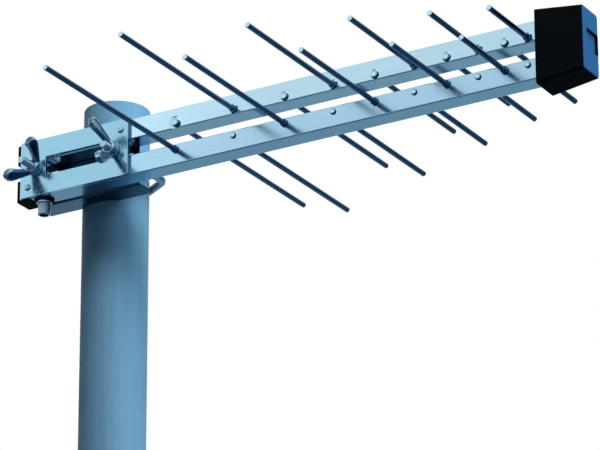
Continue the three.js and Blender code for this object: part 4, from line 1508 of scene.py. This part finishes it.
@dataclass
class Socket:
    """The threaded aerial socket under the rear end, with its gasket, nut, insulator and contact.

    Args:
        shop: dresses the pieces.
        pitch: pitch of the socket's thread.
        depth: the thread's depth.
        wall: the barrel's wall.
        flange: the flange's thickness, and how far it stands out from the barrel.
        squeeze: how far the flange lies under the gasket's lower face.
    """

    shop: Workshop
    pitch: float = 0.79
    depth: float = 0.16
    wall: float = 1.55
    flange: tuple[float, float] = (1.4, 1.25)
    squeeze: float = 0.3

    def build(self) -> None:
        """Makes the socket's pieces."""
        self._gasket()
        self._barrel()
        self._insulator()
        self._contact()
        self._nut()

    def _gasket(self) -> None:
        """Makes the rubber washer, swollen a little where it is squeezed."""
        foot, radius, thick = upright_of("socket_gasket")
        hole = 5.1
        profile = [(hole, 0.0), (radius - 0.4, 0.0), (radius - 0.1, 0.25), (radius, thick / 2),
                   (radius - 0.1, thick - 0.25), (radius - 0.4, thick), (hole, thick)]
        gasket = Solid("socket_gasket_ring").revolve(profile, Axis.UP, foot, 56, closed=True)
        self.shop.deliver(gasket.object(), Look.RUBBER, Body.ANTENNA, "socket_gasket", sharp=40)

    def _barrel(self) -> None:
        """Makes the barrel: bore, threaded outside, flange and the part inside the boom."""
        foot, rim, tall = upright_of("coax_socket")
        gasket_low = box_of("socket_gasket")[0].z
        flange_top = gasket_low - self.squeeze - foot.z
        flange_low = flange_top - self.flange[0]
        barrel = rim - self.flange[1]
        bore = barrel - self.wall
        begin, step = 0.35, self.pitch / 6
        count = int((flange_low - 0.9) / step)
        profile = [(bore + 0.2, 0.0), (barrel - 0.55, 0.0)]
        profile += [(barrel, begin + step * i) for i in range(count)]
        profile += [(barrel - self.depth, flange_low - 0.5), (barrel - self.depth, flange_low),
                    (rim - 0.2, flange_low), (rim, flange_low + 0.2), (rim, flange_top - 0.15),
                    (rim - 0.15, flange_top), (barrel, flange_top), (barrel, tall - 0.3),
                    (barrel - 0.3, tall), (1.6, tall), (1.6, tall - 1.5), (bore, tall - 1.5),
                    (bore, 0.25)]
        thread_end = begin + step * (count - 1)

        def thread(size: float, along: float, turn: float) -> float:
            """Returns the radius with the socket's outside thread cut into it."""
            if size < barrel - 0.01 or not 0.3 < along < thread_end + 0.01:
                return size
            phase = (along / self.pitch + turn / (2 * math.pi)) % 1.0
            return size - self.depth * abs(2 * phase - 1)

        socket = Solid("coax_socket_turned").revolve(
            profile, Axis.UP, foot, 56, closed=True, ripple=thread)
        self.shop.deliver(socket.object(), Look.NICKEL, Body.ANTENNA, "coax_socket", sharp=50)

    def _insulator(self) -> None:
        """Makes the white plug inside, with a raised collar round the contact."""
        foot, radius, tall = upright_of("socket_insulator")
        hole, collar, face = 1.3, 1.9, 0.7
        profile = [(hole, 0.0), (1.7, 0.0), (collar, 0.2), (collar, face), (radius - 0.3, face),
                   (radius, 1.0), (radius, tall), (hole, tall)]
        plug = Solid("socket_insulator_plug").revolve(profile, Axis.UP, foot, 40, closed=True)
        self.shop.deliver(plug.object(), Look.INSULATOR, Body.ANTENNA, "socket_insulator", sharp=40)

    def _contact(self) -> None:
        """Makes the sprung sleeve that takes the plug's pin."""
        foot, _, tall = upright_of("socket_contact")
        bore, outside = 0.5, 1.0
        profile = [(0.0, 6.0), (bore, 5.8), (bore, 0.3), (0.7, 0.0), (0.85, 0.0), (outside, 0.15),
                   (outside, tall - 0.3), (0.7, tall), (0.0, tall)]
        pin = Solid("socket_contact_sleeve").revolve(profile, Axis.UP, foot, 32)
        self.shop.deliver(pin.object(), Look.BRASS, Body.ANTENNA, "socket_contact", sharp=40)

    def _nut(self) -> None:
        """Makes the hexagon nut inside the boom, its corners turned down."""
        low, high = box_of("socket_nut")
        middle = centre_of("socket_nut")
        flats, tall = (high.y - low.y) / 2, high.z - low.z

        def hexagon(size: float, z: float) -> list[Vector]:
            """Returns the nut's outline at a height, limited by a circle of a given size."""
            points = []
            for i in range(48):
                turn = 2 * math.pi * i / 48
                from_flat = (turn - math.pi / 2 + math.pi / 6) % (math.pi / 3) - math.pi / 6
                reach = min(flats / math.cos(from_flat), size)
                points.append(Vector((middle.x + reach * math.cos(turn),
                                      middle.y + reach * math.sin(turn), low.z + z)))
            return points

        corner = flats / math.cos(math.pi / 6)
        bore = [Vector((middle.x + x, middle.y + y, 0)) for x, y in circle(5.0, 48)]
        turned = 0.35
        rings = [hexagon(flats, 0.0), hexagon(corner, turned), hexagon(corner, tall - turned),
                 hexagon(flats, tall)]
        rings += [[Vector((p.x, p.y, low.z + z)) for p in bore] for z in (tall, 0.0)]
        nut = Solid("socket_nut_hex").skin(rings, closed=True)
        self.shop.deliver(nut.object(), Look.NICKEL, Body.ANTENNA, "socket_nut", sharp=30)


@dataclass
class Feed:
    """What connects the front end: cable, wire, lug, spacer and screws, inside boom and cover.

    Args:
        shop: dresses the pieces.
        cable: the cable's diameter.
        wire: the conductor's diameter.
        bend: the wire's bend radius.
    """

    shop: Workshop
    cable: float = 5.0
    wire: float = 1.6
    bend: float = 4.0

    def build(self) -> None:
        """Makes the feed's pieces."""
        self._cable()
        self._wire()
        self._lug()
        self._spacer()
        for name, up in (("upper_spacer_screw", 1), ("lower_spacer_screw", -1), ("lug_screw", -1)):
            self._screw(name, up)

    @staticmethod
    def _upright(points: Sequence[Point], y: float, radius: float) -> list[tuple]:
        """Stations of a rod whose centreline lies in an upright plane.

        Args:
            points: (x, z) along the centreline.
            y: where the plane stands.
            radius: the rod's radius.

        Returns:
            The stations for Solid.sweep.
        """
        stations = []
        for i, (x, z) in enumerate(points):
            before, after = points[max(0, i - 1)], points[min(len(points) - 1, i + 1)]
            ahead = Vector((after[0] - before[0], 0, after[1] - before[1])).normalized()
            across = Vector((0, 1, 0))
            stations.append((Vector((x, y, z)), across, ahead.cross(across), radius))
        return stations

    def _cable(self) -> None:
        """Makes the white cable along the lower boom."""
        low, high = box_of("coax_cable")
        radius = self.cable / 2
        lower, upper = low.z + radius, high.z - radius
        start, end = low.x, high.x
        drop, run = start + 13.0, 55.0
        points = [(start + (drop - start) * i / 4, upper) for i in range(4)]
        for i in range(25):
            t = i / 24
            mix = t * t * (3 - 2 * t)
            points.append((drop + run * t, upper + (lower - upper) * mix))
        points += [(drop + run + (end - drop - run) * i / 10, lower) for i in range(1, 11)]
        cable = Solid("coax_cable_sheath").sweep(
            self._upright(points, centre_of("coax_cable").y, radius), 28)
        self.shop.deliver(cable.object(), Look.SHEATH, Body.ANTENNA, "coax_cable", sharp=50)

    def _wire(self) -> None:
        """Makes the bared conductor that turns up to the lug."""
        low, high = box_of("feed_wire")
        radius = self.wire / 2
        level, upright = low.z + radius, high.x - radius
        points = [(low.x, level), (upright - self.bend, level)]
        points += arc((upright - self.bend, level + self.bend), self.bend, -90, 0, 10)[1:]
        points += [(upright, high.z - 0.3), (upright, high.z)]
        stations = self._upright(points, centre_of("feed_wire").y, radius)
        stations[-1] = (*stations[-1][:3], radius * 0.6)
        wire = Solid("feed_wire_drawn").sweep(stations, 20)
        self.shop.deliver(wire.object(), Look.COPPER, Body.ANTENNA, "feed_wire", sharp=50)

    def _lug(self) -> None:
        """Makes the bent tag: a leg in the upper boom and a leg down its front."""
        low, high = box_of("feed_lug")
        middle, thick = centre_of("feed_lug"), 0.8
        top, front = high.z, high.x
        section = [(low.x, top), *arc((front - 1.0, top - 1.0), 1.0, 90, 0, 5), (front, low.z),
                   (front - thick, low.z), *arc((front - 1.0, top - 1.0), 0.2, 0, 90, 5),
                   (low.x, top - thick)]
        half = (high.y - low.y) / 2
        lug = Solid("feed_lug_bent").skin(
            [[Vector((x, middle.y + y, z)) for x, z in section] for y in (-half, half)]).object()
        screw, radius, past = centre_of("lug_screw"), 1.8, 3
        hole = Solid("hole").revolve(
            [(0.0, -past), (radius, -past), (radius, past), (0.0, past)], Axis.UP,
            Vector((screw.x, screw.y, top)), 32).object()
        combine(lug, [hole], "DIFFERENCE")
        self.shop.deliver(lug, Look.BRASS, Body.ANTENNA, "feed_lug", sharp=30)

    def _spacer(self) -> None:
        """Makes the block between the booms, waisted in the middle to save plastic."""
        low, high = box_of("feed_spacer")
        middle = (low + high) / 2
        width, depth, tall = high.x - low.x, high.y - low.y, high.z - low.z
        rings = []
        for z, drawn_in in ((0, 0.4), (0.4, 0), (2.6, 0), (3.1, 0.8), (tall - 3.1, 0.8),
                            (tall - 2.6, 0), (tall - 0.4, 0), (tall, 0.4)):
            loop = rounded_rectangle(width - 2 * drawn_in, depth - 2 * drawn_in, 1.0, 5,
                                     (middle.x, middle.y))
            rings.append([Vector((x, y, low.z + z)) for x, y in loop])
        spacer = Solid("feed_spacer_moulded").skin(rings).object()
        drills, drill, deep = Solid("drills"), 1.75, 5.3
        for name, up in (("upper_spacer_screw", 1), ("lower_spacer_screw", -1)):
            at = centre_of(name)
            face = high.z if up > 0 else low.z
            drills.revolve([(0.0, 1), (drill, 1), (drill, -deep), (0.0, -deep)],
                           Axis.UP if up > 0 else Axis.DOWN, Vector((at.x, at.y, face)), 32)
        combine(spacer, [drills.object()], "DIFFERENCE")
        self.shop.deliver(spacer, Look.INSULATOR, Body.ANTENNA, "feed_spacer", sharp=30)

    def _screw(self, name: str, up: int) -> None:
        """Makes a pan-head screw with a cross recess and a fine thread.

        Args:
            name: the screw's node.
            up: 1 if its head is on top, -1 if it is below.
        """
        low, high = box_of(name)
        middle = centre_of(name)
        head, shank, depth = (high.x - low.x) / 2, 1.5, 0.3
        rise, length = 2.0, high.z - low.z - 2.0
        seat = high.z - rise if up > 0 else low.z + rise
        axis = Axis.UP if up > 0 else Axis.DOWN
        pitch = 0.7
        step = pitch / 6
        count = int((length - 1.2) / step)
        profile = [(0.0, rise), (1.2, rise - 0.05), (2.1, rise - 0.35), (head, rise * 0.45),
                   (head, 0.2), (head - 0.2, 0.0), (shank, 0.0)]
        profile += [(shank, -0.4 - step * i) for i in range(count)]
        profile += [(1.1, -length + 0.5), (0.0, -length)]

        def thread(size: float, along: float, turn: float) -> float:
            """Returns the radius with the screw's thread rolled into it."""
            if abs(size - shank) > 0.01 or along > -0.5:
                return size
            return size - depth * abs(2 * ((along / pitch + turn / (2 * math.pi)) % 1.0) - 1)

        at = Vector((middle.x, middle.y, seat))
        screw = Solid(name + "_rolled").revolve(profile, axis, at, 32, ripple=thread).object()
        cross = []
        long, slit = 3.0, 0.62
        for across, along in ((long, slit), (slit, long)):
            loop = rounded_rectangle(across, along, 0.12, 2, (at.x, at.y))
            taper = rounded_rectangle(across * 0.5, along * 0.5, 0.1, 2, (at.x, at.y))
            cross.append(Solid("cross").skin(
                [[Vector((x, y, seat + up * (rise + 0.5))) for x, y in loop],
                 [Vector((x, y, seat + up * (rise - 0.9))) for x, y in taper]]).object())
        combine(screw, cross, "DIFFERENCE")
        self.shop.deliver(screw, Look.STEEL, Body.ANTENNA, name, sharp=32)


@dataclass
class Cover:
    """The moulded cover over the booms' front ends, tapered, with a bare pocket in its nose.

    Args:
        shop: dresses the piece.
        wall: its wall.
        nose: thickness of its nose.
        corner: radius of its long corners.
        nose_edge: radius round the nose.
        room: how far the nose stands past the booms, at the sides and at top and bottom.
        pocket: the pocket's depth, height, left and right as shares of the nose, and radius.
        rib: the ribs' thickness, and where they stand from the open end.
    """

    shop: Workshop
    wall: float = 1.8
    nose: float = 4.0
    corner: float = 2.2
    nose_edge: float = 1.2
    room: Point = (4.0, 1.9)
    pocket: tuple[float, float, float, float, float] = (2.3, 15.5, 0.26, 0.97, 0.8)
    rib: tuple[float, tuple[float, float]] = (2.0, (5.0, 23.0))

    def build(self) -> None:
        """Makes the cover: outer skin, nose with its pocket, hollow and ribs."""
        low, high = box_of("front_cover")
        boom_low, boom_high = box_of("upper_boom")
        lower_low = box_of("lower_boom")[0]
        middle = Vector((0, (low.y + high.y) / 2, (low.z + high.z) / 2))
        length = high.x - low.x
        wide, tall = high.y - low.y, high.z - low.z
        side, stack = boom_high.y - boom_low.y, boom_high.z - lower_low.z
        front_wide, front_tall = side + 2 * self.room[0], stack + 2 * self.room[1]

        def ring(x: float, inset: float, radius: float) -> list[Vector]:
            """Returns a ring of the tapered cover at x, drawn in on all sides."""
            share = (x - low.x) / length
            width = wide + (front_wide - wide) * share - 2 * inset
            height = tall + (front_tall - tall) * share - 2 * inset
            return stood_at(x, rounded_rectangle(width, height, radius, 8), middle)

        e = self.nose_edge
        made = Solid("front_cover_moulded")
        outer = [made.ring(points) for points in (
            ring(low.x, 0.35, self.corner), ring(low.x + 0.12, 0.1, self.corner),
            ring(low.x + 0.4, 0.0, self.corner),
            *(ring(low.x + length * i / 6, 0.0, self.corner) for i in range(1, 6)),
            *(ring(high.x - e + e * math.sin(math.radians(a)), e * (1 - math.cos(math.radians(a))),
                   self.corner) for a in (0, 18, 36, 54, 72, 90)))]
        inner_corner = self.corner - 1.0
        inner = [made.ring(points) for points in (
            ring(low.x, self.wall - 0.35, inner_corner), ring(low.x + 0.35, self.wall, inner_corner),
            ring(high.x - self.nose - 0.6, self.wall, inner_corner),
            ring(high.x - self.nose, self.wall + 0.6, inner_corner))]
        made.loft(outer)
        made.loft(inner)
        made.bridge(outer[0], inner[0])
        made.cap(inner[-1])
        depth, height, left, right, radius = self.pocket
        across = (-front_wide / 2 + front_wide * left, -front_wide / 2 + front_wide * right)
        pocket_middle = (middle.y + sum(across) / 2, middle.z + front_tall * 0.01)

        def pocket(x: float, inset: float) -> list[Vector]:
            """Returns a ring of the pocket at x, drawn in."""
            return stood_at(x, rounded_rectangle(across[1] - across[0] - 2 * inset,
                                                 height - 2 * inset, radius, 5, pocket_middle))

        walls = [made.ring(points) for points in (
            pocket(high.x, -0.2), pocket(high.x - 0.2, 0.0), pocket(high.x - depth + 0.2, 0.1),
            pocket(high.x - depth, 0.3))]
        made.loft(walls)
        made.cap(walls[-1])
        made.cap(outer[-1], [walls[0]])
        cover = made.object()
        combine(cover, self._ribs(low, high, wide, front_wide, side, stack, middle), "UNION")
        self.shop.deliver(cover, Look.COVER, Body.COVER, "front_cover", sharp=32)

    def _ribs(self, low: Vector, high: Vector, wide: float, front_wide: float, side: float,
              stack: float, middle: Vector) -> list[bpy.types.Object]:
        """Makes the ribs that hold the cover on the booms.

        Args:
            low: lowest corner of the cover.
            high: its highest corner.
            wide: its width at the open end.
            front_wide: its width at the nose.
            side: the booms' side.
            stack: height over both booms.
            middle: the cover's axis.

        Returns:
            The ribs.
        """
        thick, stations = self.rib
        ribs = []
        for station in stations:
            share = (station + thick) / (high.x - low.x)
            outer = (wide + (front_wide - wide) * share) / 2 - self.wall / 2
            for way in (-1, 1):
                inner = side / 2 + 0.3
                loop = rounded_rectangle(outer - inner, stack - 4.5, 0.3, 3,
                                         (middle.y + way * (inner + outer) / 2, middle.z))
                ribs.append(Solid("rib").skin(
                    [stood_at(low.x + station + x, loop) for x in (0.0, thick)]).object())
        return ribs


# ---- stage, light and camera ----


@dataclass(frozen=True)
class Lamp:
    """A square lamp that shines on the antenna.

    Args:
        name: its name.
        place: where it hangs, in metres.
        size: its side in metres.
        power: its power in watts.
        colour: its colour.
        in_gloss: whether gloss shows it.
    """

    name: str
    place: tuple[float, float, float]
    size: float
    power: float
    colour: Colour = (1.0, 1.0, 1.0)
    in_gloss: bool = False

    def hang(self, aim: Vector) -> None:
        """Hangs the lamp and turns it towards a point."""
        data = bpy.data.lights.new(self.name, "AREA")
        data.shape = "SQUARE"
        data.size = self.size
        data.energy = self.power
        data.color = self.colour
        lamp = bpy.data.objects.new(self.name, data)
        lamp.location = self.place
        lamp.rotation_euler = (aim - Vector(self.place)).to_track_quat("-Z", "Y").to_euler()
        lamp.visible_glossy = self.in_gloss
        bpy.context.scene.collection.objects.link(lamp)


@dataclass
class Studio:
    """The pale floor, the white surround, the dark screens, the lamps and the camera.

    Args:
        floor_size: side of the floor in metres.
        floor_level: its height, a little under the mast's foot.
        floor_colour: its colour.
        glow: light added to what the camera and gloss see of the floor.
        ambient: strength of the surround as a light.
        screen_colour: what gloss sees of the dark screens.
        screens: corners of each dark screen in metres.
        lamps: the key, the fill and the rim lamp.
        aim: the point that the lamps are turned to.
    """

    floor_size: float = 14.0
    floor_level: float = -0.0005
    floor_colour: Colour = (0.11, 0.12, 0.137)
    glow: tuple[Colour, Colour] = ((0.76, 0.755, 0.75), (0.205, 0.30, 0.36))
    ambient: float = 0.05
    screen_colour: Colour = (0.10, 0.19, 0.29)
    screens: tuple = (
        ((-3.0, -4.0, 0.002), (3.0, -4.0, 0.002), (3.0, 0.14, 0.002), (-3.0, 0.14, 0.002)),
        ((0.24, 0.14, 0.002), (3.0, 0.14, 0.002), (3.0, 3.0, 0.002), (0.24, 3.0, 0.002)),
        ((0.8, 1.6, 0.0), (3.5, 1.2, 0.0), (3.5, 1.2, 1.3), (0.8, 1.6, 1.3)),
    )
    lamps: tuple[Lamp, ...] = (
        Lamp("key", (1.25, -1.0, 2.0), size=0.9, power=55.0),
        Lamp("fill", (-1.6, -1.3, 0.9), size=1.6, power=2.0, colour=(0.9, 0.96, 1.0), in_gloss=True),
        Lamp("rim", (1.9, 0.2, 0.7), size=1.0, power=24.0, colour=(0.8, 0.92, 1.0)),
    )
    aim: tuple[float, float, float] = (0.14, -0.04, 0.23)

    def build(self) -> None:
        """Sets up the whole studio."""
        self._surround()
        self._floor()
        self._screens()
        for lamp in self.lamps:
            lamp.hang(Vector(self.aim))
        Eye().build()
        bpy.context.scene.view_settings.view_transform = "Standard"

    @staticmethod
    def _sheet(name: str, corners: Sequence[tuple[float, float, float]]) -> bpy.types.Object:
        """Makes a flat four-cornered sheet of the stage and returns it."""
        data = bpy.data.meshes.new(name)
        data.from_pydata(list(corners), [], [(0, 1, 2, 3)])
        sheet = bpy.data.objects.new(name, data)
        bpy.context.scene.collection.objects.link(sheet)
        return sheet

    @staticmethod
    def _bare(name: str) -> bpy.types.Material:
        """Returns a new material of that name with an empty tree."""
        material = bpy.data.materials.new(name)
        material.use_nodes = True
        material.node_tree.nodes.clear()
        return material

    def _screens(self) -> None:
        """Stands dark screens round the set, which only gloss sees."""
        material = self._bare("screen_cloth")
        tree = material.node_tree
        cloth = wire(tree, "ShaderNodeEmission", {"Color": (*self.screen_colour, 1.0)})
        wire(tree, "ShaderNodeOutputMaterial", {"Surface": cloth.outputs[0]})
        for number, corners in enumerate(self.screens):
            screen = self._sheet(f"screen_{number}", corners)
            screen.data.materials.append(material)
            screen.visible_camera = screen.visible_diffuse = screen.visible_shadow = False
            screen.visible_transmission = False

    def _surround(self) -> None:
        """Makes the surround white to the camera and in gloss, and a plain light otherwise."""
        world = bpy.data.worlds.new("surround")
        bpy.context.scene.world = world
        world.use_nodes = True
        tree = world.node_tree
        tree.nodes.clear()
        path = wire(tree, "ShaderNodeLightPath").outputs
        seen = path["Is Camera Ray"]
        for name in ("Is Glossy Ray", "Is Transmission Ray"):
            seen = math_of(tree, "MAXIMUM", seen, path[name])
        level = wire(tree, "ShaderNodeMapRange", {"Value": seen, "To Min": self.ambient,
                                                  "To Max": 1.0})
        light = wire(tree, "ShaderNodeBackground", {"Color": (1.0, 1.0, 1.0, 1.0),
                                                    "Strength": level.outputs[0]})
        wire(tree, "ShaderNodeOutputWorld", {"Surface": light.outputs[0]})

    def _floor(self) -> None:
        """Makes the floor at the mast's foot, seen from above only."""
        half, level = self.floor_size / 2, self.floor_level
        floor = self._sheet("floor", [(x, y, level) for x, y in
                                      ((-half, -half), (half, -half), (half, half), (-half, half))])
        material = self._bare("floor_paint")
        tree = material.node_tree
        path = wire(tree, "ShaderNodeLightPath").outputs
        shape = wire(tree, "ShaderNodeNewGeometry")
        paint = wire(tree, "ShaderNodeBsdfDiffuse", {"Color": (*self.floor_colour, 1.0)})
        shine = wire(tree, "ShaderNodeEmission", {
            "Color": mixed(tree, path["Is Glossy Ray"], *self.glow),
            "Strength": math_of(tree, "MAXIMUM", path["Is Camera Ray"], path["Is Glossy Ray"])})
        both = wire(tree, "ShaderNodeAddShader", {0: paint.outputs[0], 1: shine.outputs[0]})
        clear = wire(tree, "ShaderNodeBsdfTransparent")
        pick = wire(tree, "ShaderNodeMixShader", {0: shape.outputs["Backfacing"],
                                                  1: both.outputs[0], 2: clear.outputs[0]})
        wire(tree, "ShaderNodeOutputMaterial", {"Surface": pick.outputs[0]})
        floor.data.materials.append(material)


@dataclass
class Eye:
    """The camera, below the antenna and looking up past its front end.

    Args:
        azimuth: how far it stands round from straight in front, in degrees.
        elevation: how far it looks up, in degrees.
        roll: its tilt, in degrees.
        lens: focal length in millimetres on a 36 mm sensor.
        distance: from the aim point, in metres.
        aim: the point that it is measured from.
        offset: how far the aim point lies from the middle of the view, in tangents.
    """

    azimuth: float = 30.4813
    elevation: float = 22.0214
    roll: float = -0.1858
    lens: float = 230.6274
    distance: float = 2.80484
    aim: tuple[float, float, float] = (0.0981, -0.046765, 0.240)
    offset: tuple[float, float] = (-0.0275926, 0.0229773)

    def build(self) -> None:
        """Makes the camera and puts it in use."""
        around, up, tilt = (math.radians(v) for v in (self.azimuth, self.elevation, self.roll))
        toward = Vector((math.sin(around), -math.cos(around), 0))
        right = Vector((math.cos(around), math.sin(around), 0))
        ahead = -toward * math.cos(up) + Vector((0, 0, 1)) * math.sin(up)
        over = right.cross(ahead)
        side = right * math.cos(tilt) + over * math.sin(tilt)
        top = over * math.cos(tilt) - right * math.sin(tilt)
        place = (Vector(self.aim) - side * self.offset[0] * self.distance
                 - top * self.offset[1] * self.distance - ahead * self.distance)
        data = bpy.data.cameras.new("camera")
        data.lens = self.lens
        data.sensor_width = 36.0
        data.clip_end = 50.0
        camera = bpy.data.objects.new("camera", data)
        camera.matrix_world = Matrix((
            (side.x, top.x, -ahead.x, place.x),
            (side.y, top.y, -ahead.y, place.y),
            (side.z, top.z, -ahead.z, place.z),
            (0, 0, 0, 1)))
        bpy.context.scene.collection.objects.link(camera)
        bpy.context.scene.camera = camera


def main() -> None:
    """Builds the studio and every sub-assembly in order."""
    logging.basicConfig(level=logging.INFO, format="%(name)s: %(message)s")
    Studio().build()
    shop = Workshop()
    for assembly in (Mast(shop), Booms(shop), Rods(shop), RearCaps(shop), Clamp(shop), VBolt(shop),
                     WingNuts(shop), Socket(shop), Feed(shop), Cover(shop)):
        LOG.info("building %s", type(assembly).__name__)
        assembly.build()


if __name__ == "__main__":
    main()
